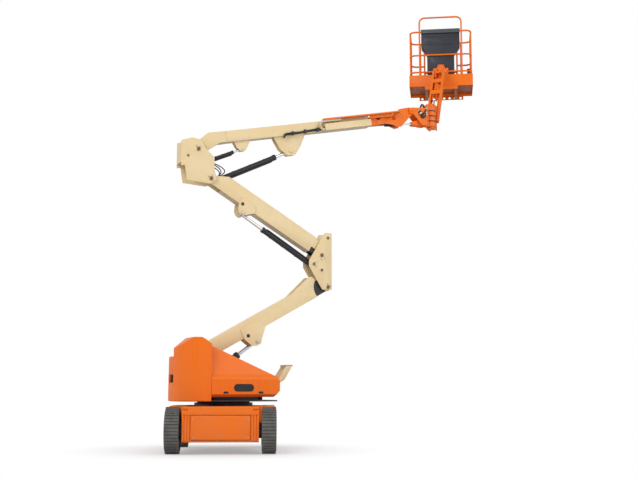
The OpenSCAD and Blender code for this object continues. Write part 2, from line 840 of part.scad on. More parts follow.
// lower boom, along its own pin line
tube_start_share = 0.7;
foot_shares = [[-0.7, 0.6], [0.7, 1.4]];
flare_shares = [[0.6, -1], [1.2, -0.72], [1.27, -0.92]];
flare_reach_share = 2.86;
module lower_head_plate() {
  root = lower_len - lower_h * flare_reach_share;
  pair([[root, lower_lift], [lower_len - lower_h, lower_z0], [lower_len, lower_z0],
        [lower_len + boss_r * boss_share, 0], [lower_len - boss_r, lower_h * flare_shares[0][0]],
        [lower_len + lower_h * flare_shares[1][1], lower_h * flare_shares[1][0]],
        [lower_len + lower_h * flare_shares[2][1], lower_h * flare_shares[2][0]], [root, lower_z1 - cut]],
       end_t, lower_half - end_t);
}
module lower_boom() {
  color("#E8D0A0")
    boom_side()
      along(lower_foot, lower_angle)
        difference() {
          union() {
            tube(lower_h * tube_start_share, lower_len - mouth_r, lower_half, lower_z0, lower_z1, boom_t);
            pair([[boss_r * foot_shares[0][0], lower_z0], [lower_h, lower_z0], [lower_h, lower_z1],
                  boss_r * foot_shares[1], boss_r * foot_shares[0]], end_t, lower_half - end_t);
            difference() {
              lower_head_plate();
              cross_pin([lower_len, 0], mouth_r, 4 * lower_half);
            }
            pair([[lower_len - 2 * mouth_r, lower_z0], [lower_len, lower_z0],
                  [lower_len + boss_r * boss_share, 0], [lower_len, boss_r * boss_share],
                  [lower_len - mouth_r, lower_z1],
                  [lower_len - 2 * mouth_r, lower_z1]], end_t, lug_half - 2 * end_t);
            for (x = [0, lower_len])
              cross_pin([x, 0], boss_r * boss_share, 2 * lower_half);
            lug(lower_lug, lower_z0 + cut, plate_t, lug_half, pin_r);
            doubler(lower_lug, lower_z0 + cut, plate_t);
          }
          for (x = [0, lower_len])
            cross_pin([x, 0], pin_r + fit_gap, 2 * lower_half + 2 * cut);
        }
}
module lower_boot() {
  color("#2B2D32")
    boom_side()
      along(lower_foot, lower_angle)
        boot_plates(lower_len, lower_z0 + boom_t, lower_z1 - boom_t);
}
module lower_barrel() {
  color("#202227")
    boom_side()
      ram_barrel(lower_ram, lower_ram_end, lower_ram_r, lower_barrel_share, pin_r * ram_pin_share);
}
lower_barrel_share = 0.72;
module lower_rod() {
  color("#C9CCD1")
    boom_side()
      ram_rod(lower_ram, lower_ram_end, lower_ram_r, lower_rod_share);
}
lower_rod_share = 0.36;

// knuckle between the tower booms, with the heads of its link pins
knuckle_shares = [[0, 0], [0, 1], [-0.3, 1], [-1, 0.5], [-1, 0.4], [-0.42, 0]];
knuckle_corner_shares = [4.75, -3];
web_shares = [0.22, 0.6];
link_pin_shares = [[-1, 0.527], [0, 1.555]];
module tower_knuckle() {
  corner = lower_head + plate_t * knuckle_corner_shares;
  color("#E8D0A0")
    boom_side() {
      pair(placed(scaled(knuckle_shares, knuckle_w, knuckle_h), corner), plate_t, knuckle_half);
      translate([corner[0] - plate_t, -knuckle_half - cut, corner[1] + knuckle_h * web_shares[0]])
        cube([plate_t, 2 * (knuckle_half + cut), knuckle_h * web_shares[1]]);
      for (pin = [lower_head, upper_foot])
        cross_pin(pin, pin_r, 2 * (knuckle_half + 2 * plate_t));
      cross_pin(upper_ram, pin_r * ram_pin_share, 2 * (knuckle_half + 2 * plate_t));
      for (pin = placed(scaled(link_pin_shares, knuckle_back, knuckle_rise), lower_head))
        boss_pair(pin, pin_r * ram_pin_share, knuckle_half + plate_t - cut, knuckle_half + 2 * plate_t);
    }
}

// upper boom, along its own pin line from the upright down
open_share = 0.375;
upper_foot_share = 0.8;
upper_start_share = 0.9;
upper_head_shares = [[-0.8, 0.7], [0.5, 1.1]];
upper_end_shares = [[0.3, 0], [1, 0], [0.6, 1.2], [-1, 2]];
mouth_top_share = 0.15;
module upper_boom() {
  open_x = upper_len * open_share;
  foot_x = upper_len - upper_h * upper_foot_share;
  color("#E8D0A0")
    boom_side()
      along(upper_head, -upper_angle)
        difference() {
          union() {
            tube(open_x, foot_x, lower_half, upper_z0, upper_z1, boom_t);
            bar(upper_h * upper_start_share, open_x + cut, lower_half, upper_z0, upper_z0 + boom_t);
            pair([[boss_r * upper_head_shares[0][0], upper_z0], [open_x + boss_r, upper_z0],
                  [open_x + boss_r, upper_z1], [upper_h * upper_start_share, upper_z1],
                  boss_r * upper_head_shares[1], boss_r * upper_head_shares[0]], end_t, lower_half - end_t);
            difference() {
              pair([[foot_x - boss_r, upper_z0], [upper_len + boss_r * upper_end_shares[0][0], upper_z0],
                    [upper_len + boss_r, 0], [upper_len, 0] + boss_r * upper_end_shares[2],
                    [upper_len, 0] + boss_r * upper_end_shares[3], [foot_x - boss_r, upper_z1]],
                   end_t, lower_half - end_t);
              intersection() {
                cross_pin([upper_len, 0], mouth_r, 4 * lower_half);
                bar(foot_x, 2 * upper_len, 2 * lower_half, -mouth_r, mouth_r * mouth_top_share);
              }
            }
            boss_pair([0, 0], boss_r * boss_share, lower_half - 2 * end_t, lower_half);
            cross_pin([upper_len, 0], boss_r * boss_share, 2 * lower_half);
            lug(upper_lug, upper_z0 + cut, plate_t, lug_half, pin_r);
            doubler(upper_lug, upper_z0 + cut, plate_t);
          }
          for (x = [0, upper_len])
            cross_pin([x, 0], pin_r + fit_gap, 2 * lower_half + 2 * cut);
        }
}
module upper_boot() {
  color("#2B2D32")
    boom_side()
      along(upper_head, -upper_angle)
        boot_plates(upper_len, upper_z0 + boom_t, upper_z1 / 2);
}
module upper_barrel() {
  color("#202227")
    boom_side()
      ram_barrel(upper_ram, upper_ram_end, upper_ram_r, upper_barrel_share, pin_r * ram_pin_share);
}
upper_barrel_share = 0.7;
module upper_rod() {
  color("#C9CCD1")
    boom_side()
      ram_rod(upper_ram, upper_ram_end, upper_ram_r, upper_rod_share);
}
upper_rod_share = 0.36;

// upright that carries the main boom
upright_shares = [[-1.26, 0.38], [-1.26, 1.26], [-0.8, 1.39], [-0.42, 1.33], [-0.26, 1.06], [0.13, 0.75],
                  [0.13, 0.4], [0.24, -0.02], [-0.02, -0.18], [-1, -0.12], [-1.1, 0.4]];
upright_w_share = 1.8;
upright_hole_share = [-0.972, 0.7355];
upright_back_shares = [0.5, 0.7];
ram_foot_shares = [[-1, -1.6], [1, -1.6], [1.6, 0], [1, 1.6], [-1, 1.6]];
module upright() {
  w = main_back * upright_w_share;
  color("#E8D0A0")
    boom_side() {
      difference() {
        pair(placed(scaled(upright_shares, w, main_rise), upper_head), plate_t, knuckle_half);
        cross_pin(upper_head + [w * upright_hole_share[0], main_rise * upright_hole_share[1]],
                  pin_r * ram_pin_share, 4 * knuckle_half);
      }
      translate([upper_head[0] + w * upright_shares[0][0], -knuckle_half - cut,
                 upper_head[1] + main_rise * upright_back_shares[0]])
        cube([plate_t, 2 * (knuckle_half + cut), main_rise * upright_back_shares[1]]);
      for (pin = [upper_head, main_foot])
        cross_pin(pin, pin_r, 2 * (knuckle_half + 2 * plate_t));
      cross_pin(master_ram, pin_r * small_pin_share, 2 * (knuckle_half + plate_t));
      pair([upper_head + pin_r * ram_foot_shares[0], main_ram + pin_r * ram_foot_shares[1],
            main_ram + pin_r * ram_foot_shares[2], main_ram + pin_r * ram_foot_shares[3],
            upper_head + pin_r * ram_foot_shares[4]], plate_t, lug_half - plate_t / 2);
      cross_pin(main_ram, pin_r * ram_pin_share, 2 * (lug_half + plate_t));
    }
}

// main boom
main_z0 = main_lift - main_h / 2;
main_z1 = main_lift + main_h / 2;
fly_z0 = main_lift - fly_h / 2;
fly_z1 = main_lift + fly_h / 2;
tray_share = 0.72;
tray_x = main_end * tray_share;
root_low_shares = [[-0.6, -0.9], [0.6, -0.9]];
root_top_shares = [[-0.4, 1.2], [-1, 0.2]];
root_run_shares = [4.6, 6, 2.6];
master_boss_share = 0.6;
module main_boom() {
  color("#E8D0A0")
    boom_side()
      along(main_foot, main_angle)
        difference() {
          union() {
            tube(main_start, main_end, main_half, main_z0, main_z1, boom_t);
            difference() {
              bar(main_end - pad_len, main_end, main_half - cut, main_z0 + cut, main_z1 - cut);
              bar(main_end - pad_len - cut, main_end + cut, fly_half + fit_gap, fly_z0 - fit_gap,
                  fly_z1 + fit_gap);
            }
            pair([boss_r * root_low_shares[0], boss_r * root_low_shares[1],
                  [boss_r * root_run_shares[0], main_z0], [boss_r * root_run_shares[1], main_z0],
                  [boss_r * root_run_shares[1], main_z1], [boss_r * root_run_shares[2], main_z1],
                  boss_r * root_top_shares[0], boss_r * root_top_shares[1]],
                 plate_t, main_half - cut);
            cross_pin([0, 0], boss_r * boss_share, 2 * (main_half + plate_t - cut));
            lug(main_lug, main_z0 + cut, plate_t, lug_half - end_t, pin_r);
            lug(master_lug, main_z0 + cut, plate_t, pin_r, pin_r * master_boss_share);
            translate([tray_x, -main_half - tray_w, main_z0]) {
              cube([main_end - tray_x, tray_w + cut, boom_t]);
              cube([main_end - tray_x, boom_t, tray_h]);
            }
          }
          cross_pin([0, 0], pin_r + fit_gap, 2 * (main_half + plate_t + cut));
        }
}
// cable chain: two runs and a half loop, notched between its links
chain_in_share = 0.62;
chain_run_share = 4;
chain_links = 8;
chain_turns = 5;
chain_cut_share = 0.06;
chain_notch_share = 0.22;
module cable_chain() {
  w = tray_w - 4 * boom_t;
  run = chain_r * chain_run_share;
  notch = chain_r * chain_notch_share;
  color("#D8D5CC")
    boom_side()
      along(main_foot, main_angle)
        translate([tray_x - boom_t, -main_half - tray_w + 2 * boom_t, main_z0 + boom_t + fit_gap + chain_r])
          difference() {
            union() {
              difference() {
                translate([0, w, 0])
                  rotate([90, 0, 0])
                    cylinder(r = chain_r, h = w);
                translate([0, w + cut, 0])
                  rotate([90, 0, 0])
                    cylinder(r = chain_r * chain_in_share, h = w + 2 * cut);
                translate([0, -cut, -chain_r - cut])
                  cube([2 * chain_r, w + 2 * cut, 2 * (chain_r + cut)]);
              }
              for (low = [-chain_r, chain_r * chain_in_share])
                translate([-cut, 0, low])
                  cube([run, w, chain_r * (1 - chain_in_share)]);
            }
            for (i = [1:chain_links - 1], low = [-chain_r - cut, chain_r - notch])
              translate([i * run / chain_links, -cut, low])
                cube([chain_r * chain_cut_share, w + 2 * cut, notch + cut]);
            for (i = [0:chain_turns])
              rotate([0, i * 180 / chain_turns, 0])
                translate([-chain_r * chain_cut_share / 2, -cut, -chain_r - cut])
                  cube([chain_r * chain_cut_share, w + 2 * cut, notch + cut]);
          }
}
// fly boom with its slanted head
head_share = 0.9;
head_tube_share = 0.3;
fly_head_shares = [[-1.3, 0.297], [-0.2, 0.369], [0.205, 0.205], [0.205, -0.205], [-1.4, -1.413],
                   [-1.8, -1.444], [-2.3, -1.167]];
window_shares = [[0.86, 0.05, 0.44, 0.24], [2.55, -0.1, 0.44, 0.58]];
rail_end_share = 1.4;
rail_post_share = 0.6;
level_pin_share = 0.8;
module fly_boom() {
  head_x = main_end + main_h * head_share;
  rail_z = main_z0 + boom_t + 2 * fit_gap + 2 * chain_r;
  color("#EB7023")
    boom_side()
      along(main_foot, main_angle)
        difference() {
          union() {
            tube(fly_start, head_x + main_h * head_tube_share, fly_half, fly_z0, fly_z1, boom_t);
            difference() {
              bar(fly_start, fly_start + pad_len, main_half - boom_t - fit_gap, main_z0 + boom_t + fit_gap,
                  main_z1 - boom_t - fit_gap);
              bar(fly_start - cut, fly_start + pad_len + cut, fly_half - cut, fly_z0 + cut, fly_z1 - cut);
            }
            pair(concat([[head_x + main_h, fly_z0], [head_x, fly_z0], [head_x, fly_z1],
                         [head_x + 2 * main_h, fly_z1]],
                        placed(scaled(fly_head_shares, main_h, main_h), [level_x, level_w])),
                 end_t, fly_half - cut);
            bar(head_x, head_x + 2 * main_h, fly_half, fly_z1 - boom_t, fly_z1);
            cross_pin(slave_foot, pin_r * slim_pin_share, 2 * (fly_half + end_t));
            translate([tray_x, -main_half - tray_w, rail_z])
              cube([level_x - main_h * rail_end_share - tray_x, tray_w - boom_t, 3 * boom_t]);
            translate([level_x - 2 * main_h, -main_half - tray_w, main_z1])
              cube([main_h * rail_post_share, main_half + tray_w - fly_half, rail_z + 2 * boom_t - main_z1]);
          }
          cross_pin([level_x, level_w], pin_r * level_pin_share + fit_gap, 2 * main_half + 2 * tray_w);
          for (w = window_shares)
            bar(main_end + main_h * w[0], main_end + main_h * (w[0] + w[2]), 2 * fly_half,
                main_lift + main_h * w[1], main_lift + main_h * (w[1] + w[3]));
        }
}
module main_barrel() {
  color("#202227")
    boom_side()
      ram_barrel(main_ram, main_ram_end, main_ram_r, main_barrel_share, pin_r * ram_pin_share);
}
main_barrel_share = 0.8;
module main_rod() {
  color("#C9CCD1")
    boom_side()
      ram_rod(main_ram, main_ram_end, main_ram_r, main_rod_share);
}
main_rod_share = 0.13;
module master_barrel() {
  color("#202227")
    boom_side()
      ram_barrel(master_ram, master_ram_end, level_ram_r, master_barrel_share, pin_r * small_pin_share);
}
master_barrel_share = 0.74;
module master_rod() {
  color("#C9CCD1")
    boom_side()
      ram_rod(master_ram, master_ram_end, level_ram_r, master_rod_share);
}
master_rod_share = 0.19;
module slave_barrel() {
  color("#202227")
    boom_side()
      ram_barrel(slave_ram, slave_ram_end, level_ram_r, slave_barrel_share, pin_r * slim_pin_share);
}
slave_barrel_share = 0.58;
module slave_rod() {
  color("#C9CCD1")
    boom_side()
      ram_rod(slave_ram, slave_ram_end, level_ram_r, slave_rod_share);
}
slave_rod_share = 0.46;

// level bracket with the jib swing actuator
bracket_gap_share = 1.55;
bracket_side_share = 1.12;
bracket_low_share = 0.4;
bracket_shares = [[0.085, -0.128], [-0.106, -0.106], [-0.106, 0.064], [-0.021, 0.123]];
bracket_top_share = 0.19;
bracket_foot_share = 0.255;
slave_lug_shares = [[-0.021, -0.096], [-0.085, -0.043], [-0.043, 0.085]];
slave_arm_share = 0.298;
block_share = 0.55;
flange_share = 1.04;
bracket_back = swing_ahead - swing_r * bracket_gap_share;
bracket_low = -jib_drop - rotor_h * bracket_low_share;
module level_bracket() {
  half = main_half * bracket_side_share;
  top = swing_ahead * bracket_top_share;
  color("#EB7023")
    boom_side()
      translate([level_pin[0], 0, level_pin[1]]) {
        pair(concat(swing_ahead * bracket_shares, [[bracket_back, top], [bracket_back, bracket_low],
             [bracket_back - swing_ahead * bracket_foot_share, bracket_low]]), end_t, half);
        bar(bracket_back - end_t, bracket_back, half + end_t, bracket_low, top);
        cross_pin([0, 0], pin_r * level_pin_share, 2 * (half + 2 * end_t));
        pair(concat(placed(swing_ahead * slave_lug_shares, slave_drop),
                    [[bracket_back - end_t, bracket_low + swing_ahead * slave_arm_share],
                     [bracket_back - end_t, bracket_low]]), end_t, pin_r);
      }
}
module swing_actuator() {
  depth = swing_r * bracket_gap_share;
  color("#26282D")
    boom_side()
      translate([swing_s, 0, level_pin[1] + bracket_low])
        difference() {
          union() {
            cylinder(r = swing_r, h = rotor_h);
            for (z = [0, rotor_h - end_t])
              translate([0, 0, z])
                cylinder(r = swing_r * flange_share, h = end_t);
            translate([-depth, -swing_r * block_share, 0])
              cube([depth, 2 * swing_r * block_share, rotor_h]);
          }
          translate([0, 0, -cut])
            cylinder(r = swing_shaft_r + fit_gap, h = rotor_h + 2 * cut);
        }
}

// jib
cap_share = 0.667;
yoke_back_share = 1.33;
yoke_shares = [-0.3, 0.375];
yoke_notch_share = 0.62;
yoke_half_share = 0.5;
yoke_t = end_t;
jib_pin_share = 0.7;
pin_over_share = 0.28;
link_pin_share = 0.23;
module jib_yoke() {
  low = jib_foot_pin[1] - rotor_h * bracket_low_share;
  cap_t = swing_shaft_r * cap_share;
  half = jib_foot * yoke_half_share;
  back = jib_foot * (1 + yoke_shares[0]);
  front = jib_foot * (1 + yoke_shares[1]);
  floor_z = low - slew_gap - cap_t;
  roof_z = low + rotor_h + slew_gap;
  color("#EB7023")
    jib_side() {
      translate([0, 0, floor_z])
        cylinder(r = swing_shaft_r, h = rotor_h + 2 * (slew_gap + cap_t));
      for (z = [floor_z, roof_z])
        difference() {
          translate([-swing_shaft_r * yoke_back_share, -half - yoke_t, z])
            cube([front + swing_shaft_r * yoke_back_share, 2 * (half + yoke_t), cap_t]);
          translate([jib_foot * yoke_notch_share, -half - cut, z - cut])
            cube([front, 2 * (half + cut), cap_t + 2 * cut]);
        }
      pair([[back, floor_z], [front, floor_z], [front, roof_z + cap_t], [back, roof_z + cap_t]], yoke_t,
           half);
      boss_pair(jib_foot_pin, pin_r * jib_pin_share, half, jib_half + jib_t + pin_r * pin_over_share);
      translate([0, (half + yoke_t + jib_ram_side - jib_ram_r) / 2, 0])
        cross_pin(jib_ram, pin_r * slim_pin_share, half + yoke_t - jib_ram_side + jib_ram_r);
      translate([0, -half - yoke_t + jib_foot * link_pin_share, 0])
        cross_pin(jib_foot_pin + [0, -link_drop], pin_r * small_pin_share, 2 * jib_foot * link_pin_share);
    }
}
cross_shares = [[0.52, 0.6], [0.76, 0.83]];
jib_lug_w_share = 0.33;
jib_lug_half_share = 1.23;
jib_lug_t_share = 0.28;
module jib_arm() {
  lug_x = jib_len * jib_lug_share;
  lug_w = jib_h * jib_lug_w_share;
  color("#EB7023")
    jib_side()
      along(jib_foot_pin, jib_angle)
        difference() {
          union() {
            pair([[-jib_h / 2, -jib_h / 2], [jib_len + jib_h / 2, -jib_h / 2],
                  [jib_len + jib_h / 2, jib_h / 2], [-jib_h / 2, jib_h / 2]], jib_t, jib_half);
            for (x = jib_len * cross_shares)
              bar(x[0], x[1], jib_half + cut, jib_h / 4, jib_h / 2);
            translate([0, jib_ram_side, 0])
              pair([[lug_x - lug_w, -lug_w], [lug_x + lug_w, -lug_w],
                    [jib_len * cross_shares[0][1], jib_h / 4 + cut],
                    [jib_len * cross_shares[0][0], jib_h / 4 + cut], [lug_x - lug_w, lug_w]],
                   jib_t * jib_lug_t_share, jib_ram_r * jib_lug_half_share);
          }
          for (x = [0, jib_len])
            cross_pin([x, 0], pin_r * jib_pin_share + fit_gap, 4 * jib_half);
        }
}
module jib_barrel() {
  color("#202227")
    jib_side()
      translate([0, jib_ram_side, 0])
        ram_barrel(jib_ram, jib_ram_end, jib_ram_r, jib_barrel_share, pin_r * slim_pin_share);
}
jib_barrel_share = 0.54;
module jib_rod() {
  color("#C9CCD1")
    jib_side()
      translate([0, jib_ram_side, 0])
        ram_rod(jib_ram, jib_ram_end, jib_ram_r, jib_rod_share);
}
jib_rod_share = 0.43;
link_share = 0.31;
module jib_link() {
  half = jib_h * link_share;
  color("#EB7023")
    jib_side()
      along(jib_foot_pin + [0, -link_drop], jib_angle)
        translate([0, -2 * jib_ram_side, 0])
          difference() {
            union() {
              plate([[0, -half], [jib_len, -half], [jib_len, half], [0, half]], jib_ram_side);
              for (x = [0, jib_len])
                cross_pin([x, 0], half, jib_ram_side);
            }
            for (x = [0, jib_len])
              cross_pin([x, 0], pin_r * small_pin_share + fit_gap, 2 * jib_ram_side);
          }
}
// platform bracket with its rotator
head_low_share = -1.41;
head_h_share = 3.33;
head_low = rotor_r * head_low_share;
head_h = rotor_r * head_h_share;
head_shares = [[-0.28, -0.22], [0.22, -0.22], [0.23, -0.74], [1, -0.74], [1, 1.037], [0.148, 0.296],
               [-0.28, 0.28]];
module platform_bracket() {
  half = jib_foot * yoke_half_share;
  color("#EB7023")
    jib_side()
      translate([jib_head_pin[0], 0, jib_head_pin[1]])
        difference() {
          union() {
            pair([for (i = [0:len(head_shares) - 1])
                    rotor_ahead * head_shares[i] - [0, i < 2 ? link_drop : 0]], plate_t, half);
            cross_pin([0, 0], pin_r * jib_pin_share, 2 * (jib_half + jib_t + pin_r * pin_over_share));
            cross_pin([0, -link_drop], pin_r * small_pin_share, 2 * (half + plate_t));
            translate([rotor_ahead, 0, head_low])
              cylinder(r = rotor_r, h = head_h);
          }
          translate([rotor_ahead, 0, head_low - cut])
            cylinder(r = shaft_r + fit_gap, h = head_h + 2 * cut);
        }
}

// platform
// rotator shaft, clamp and mounting plate follow the rotator
shaft_share = 0.45;
clamp_share = 0.31;
clamp_in_share = 0.8;
mount_share = 1.92;
shaft_r = rotor_r * shaft_share;
clamp_t = rotor_r * clamp_share;
mount_half = rotor_r * mount_share;
floor_share = 10;
floor_low = -skin_t * floor_share;
hole_share = 0.34;
module support_beam() {
  difference() {
    tube(plat_ahead - skin_t, plat_ahead + plat_d, beam_half, floor_low - beam_h, floor_low + cut, skin_t);
    for (i = [1:beam_holes])
      cross_pin([plat_ahead + i * plat_d / (beam_holes + 1), floor_low - beam_h / 2], beam_h * hole_share,
                4 * beam_half);
  }
}
module platform_floor() {
  clamp_low = plat_drop + head_low - slew_gap - clamp_t;
  color("#EB7023")
    platform_side() {
      translate([0, 0, clamp_low])
        cylinder(r = shaft_r, h = head_h + 2 * (slew_gap + clamp_t));
      for (z = [clamp_low, plat_drop + head_low + head_h + slew_gap])
        translate([-rotor_r * clamp_in_share, -rotor_r * clamp_in_share, z])
          cube([plat_ahead + rotor_r * clamp_in_share, 2 * rotor_r * clamp_in_share, clamp_t]);
      translate([plat_ahead - 2 * skin_t, -mount_half, floor_low - beam_h])
        cube([2 * skin_t + cut, 2 * mount_half, beam_h + 2 * mount_half + floor_low + head_h / 2]);
      translate([plat_ahead - 2 * skin_t, -beam_y - beam_half, floor_low - beam_h])
        cube([2 * skin_t + cut, 2 * (beam_y + beam_half), beam_h]);
      for (y = [-beam_y, beam_y])
        translate([0, y, 0])
          support_beam();
      difference() {
        translate([plat_ahead, -plat_half, floor_low])
          cube([plat_d, 2 * plat_half, toe_h - floor_low]);
        translate([plat_ahead + skin_t, -plat_half + skin_t, 0])
          cube([plat_d - 2 * skin_t, 2 * (plat_half - skin_t), toe_h + cut]);
        translate([plat_ahead + skin_t, -plat_half + skin_t, floor_low - cut])
          cube([plat_d - 2 * skin_t, 2 * (plat_half - skin_t), -floor_low - skin_t + cut]);
      }
    }
}
rail_in_share = 1.47;
rail_wall_share = 0.18;
rail_in = rail_r * rail_in_share;
rail_wall = rail_r * rail_wall_share;
mid_share = 0.55;
low_share = 0.225;
bar_share = 0.42;
rail_x0 = plat_ahead + rail_in;
rail_x1 = plat_ahead + plat_d - rail_in;
rail_y = plat_half - rail_in;
grab_shares = [0.7, 2];
module upright_tube(x, y, z0, z1, r) translate([x, y, z0]) cylinder(r = r, h = z1 - z0);
module cross_tube(x, y, z, r) translate([x, -y, z]) rotate([-90, 0, 0]) cylinder(r = r, h = 2 * y);
module bend(angle, r) rotate([0, 0, angle]) rotate_extrude(angle = 90) translate([corner_r, 0]) circle(r = r);
module rail_loop(z, r) {
  for (x = [rail_x0, rail_x1])
    cross_tube(x, rail_y - corner_r, z, r);
  for (y = [-rail_y, rail_y])
    translate([rail_x0 + corner_r, y, z])
      rotate([0, 90, 0])
        cylinder(r = r, h = rail_x1 - rail_x0 - 2 * corner_r);
  for (side = [-1, 1]) {
    translate([rail_x1 - corner_r, side * (rail_y - corner_r), z])
      bend(side > 0 ? 0 : 270, r);
    translate([rail_x0 + corner_r, side * (rail_y - corner_r), z])
      bend(side > 0 ? 90 : 180, r);
  }
}
module rail_set(r, end) {
  rail_loop(rail_h, r);
  difference() {
    for (level_share = [mid_share, low_share])
      rail_loop(rail_h * level_share, r);
    translate([rail_x1 - corner_r, -gate_y, end])
      cube([2 * corner_r, 2 * gate_y, rail_h - corner_r]);
  }
  for (side = [-1, 1]) {
    upright_tube(rail_x0, side * arch_y, end, rail_h + arch_h - corner_r, r);
    upright_tube(rail_x1, side * arch_y, end, rail_h, r);
    upright_tube(rail_x1, side * gate_y, end, rail_h, r);
    for (x = [rail_x0 + corner_r, rail_x1 - corner_r])
      upright_tube(x, side * rail_y, end, rail_h, r);
    upright_tube(rail_x0 + corner_r * (1 + grab_shares[0]), side * rail_y, rail_h - corner_r * grab_shares[1],
                 rail_h, r);
    translate([rail_x0 + corner_r, side * rail_y, rail_h - corner_r * grab_shares[1]])
      rotate([0, 90, 0])
        cylinder(r = r, h = corner_r * grab_shares[0]);
    translate([rail_x0, side * (arch_y - corner_r), rail_h + arch_h - corner_r])
      rotate([0, 90, 0])
        bend(side > 0 ? 90 : 180, r);
  }
  cross_tube(rail_x0, arch_y - corner_r, rail_h + arch_h, r);
}
module platform_rails() {
  color("#EB7023")
    platform_side()
      difference() {
        rail_set(rail_r, 0);
        rail_set(rail_r - rail_wall, rail_wall);
      }
}
// console on the near rail, with a wide head over a narrow column, and a holder tube on an end post
console_gap_share = 0.6;
console_gap = rail_r * console_gap_share;
waist_shares = [0.56, 0.7];
holder_shares = [1.6, 18];
module console_block(inset) {
  z0 = toe_h + console_gap + inset;
  z1 = rail_h + console_gap - inset;
  foot = console_low_half - inset;
  head = console_half - inset;
  translate([rail_x0 + rail_r + fit_gap + inset, 0, 0])
    rotate([90, 0, 90])
      linear_extrude(console_d - 2 * inset)
        polygon([[-foot, z0], [foot, z0], [foot, rail_h * waist_shares[0]], [head, rail_h * waist_shares[1]],
                 [head, z1], [-head, z1], [-head, rail_h * waist_shares[1]],
                 [-foot, rail_h * waist_shares[0]]]);
}
module control_console() {
  holder_r = rail_r * holder_shares[0];
  color("#2B2D32")
    platform_side() {
      difference() {
        console_block(0);
        console_block(skin_t);
      }
      upright_tube(rail_x1 - corner_r, -rail_y + rail_r + fit_gap + holder_r, toe_h + 4 * rail_r,
                   toe_h + rail_r * holder_shares[1], holder_r);
    }
}
collar_share = 1.5;
module drop_bar() {
  z = rail_h * bar_share;
  color("#EB7023")
    platform_side()
      difference() {
        union() {
          cross_tube(rail_x1, gate_y, z, rail_r);
          for (y = [-gate_y, gate_y])
            upright_tube(rail_x1, y, z - 2 * rail_r, z + 2 * rail_r, rail_r * collar_share);
        }
        for (y = [-gate_y, gate_y])
          upright_tube(rail_x1, y, 0, rail_h, rail_r + cut);
        for (y = [-gate_y - 2 * rail_r, gate_y])
          translate([rail_x1 - 2 * rail_r, y, 0])
            cube([4 * rail_r, 2 * rail_r, rail_h]);
      }
}

chassis_frame();
end_cover();
battery_blocks();
drive_hubs();
steer_axle();
slew_ring();
knuckle_left();
knuckle_right();
tie_rod();
tyre_drive_left();
tyre_drive_right();
tyre_steer_left();
tyre_steer_right();
rim_drive_left();
rim_drive_right();
rim_steer_left();
rim_steer_right();
turntable_frame();
counterweight();
tail_covers();
power_units();
boom_rest();
near_hood();
far_hood();
lower_boom();
lower_boot();
lower_barrel();
lower_rod();
tower_knuckle();
upper_boom();
upper_boot();
upper_barrel();
upper_rod();
upright();
main_barrel();
main_rod();
master_barrel();
master_rod();
main_boom();
cable_chain();
fly_boom();
slave_barrel();
slave_rod();
level_bracket();
swing_actuator();
jib_yoke();
jib_arm();
jib_barrel();
jib_rod();
jib_link();
platform_bracket();
platform_floor();
platform_rails();
control_console();
drop_bar();
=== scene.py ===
"""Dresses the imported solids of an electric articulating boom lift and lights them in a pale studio."""
import json
import logging
import math
from dataclasses import dataclass, field
from enum import Enum
from typing import Callable, Iterable, Optional, Sequence

import bmesh
import bpy
import numpy as np
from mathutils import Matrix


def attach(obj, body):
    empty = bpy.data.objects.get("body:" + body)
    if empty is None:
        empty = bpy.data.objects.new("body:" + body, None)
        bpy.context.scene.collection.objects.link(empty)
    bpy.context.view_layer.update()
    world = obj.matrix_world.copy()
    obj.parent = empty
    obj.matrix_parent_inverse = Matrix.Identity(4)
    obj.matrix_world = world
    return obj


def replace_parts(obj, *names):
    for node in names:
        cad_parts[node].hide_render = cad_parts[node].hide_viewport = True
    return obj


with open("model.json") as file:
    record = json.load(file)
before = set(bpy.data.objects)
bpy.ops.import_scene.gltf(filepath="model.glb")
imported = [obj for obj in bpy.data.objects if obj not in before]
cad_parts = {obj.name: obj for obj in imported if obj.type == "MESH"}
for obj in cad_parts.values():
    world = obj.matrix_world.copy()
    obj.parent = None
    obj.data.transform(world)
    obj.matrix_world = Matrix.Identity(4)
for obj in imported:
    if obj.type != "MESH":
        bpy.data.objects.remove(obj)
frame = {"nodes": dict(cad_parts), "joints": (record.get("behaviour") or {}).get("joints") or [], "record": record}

LOG = logging.getLogger("boom_lift")
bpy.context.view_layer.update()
PHOTO_WIDTH_PX = 638
SENSOR_MM = 36.0
FULL_TURN = 2.0 * math.pi
UP = np.array((0.0, 0.0, 1.0))

Array = np.ndarray
Pair = tuple[float, float]
Triple = tuple[float, float, float]
Socket = bpy.types.NodeSocket
Form = bmesh.types.BMesh
Face = bmesh.types.BMFace
Edge = bmesh.types.BMEdge


class Side(Enum):
    """The two sides of the boom plane, as the sign of its side axis."""

    NEAR = -1.0
    FAR = 1.0


class Slot(Enum):
    """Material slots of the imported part."""

    ORANGE = "orange_paint"
    CREAM = "cream_paint"
    DARK = "dark_paint"
    STEEL = "bright_steel"
    TYRE = "tyre_rubber"
    SHELL = "cover_shell"
    BALLAST = "ballast_iron"
    PLASTIC = "dark_plastic"
    CHAIN = "chain_plastic"


def unit(vector: Array) -> Array:
    """Returns the vector at length one."""
    return np.asarray(vector, float) / np.linalg.norm(vector)


# Materials


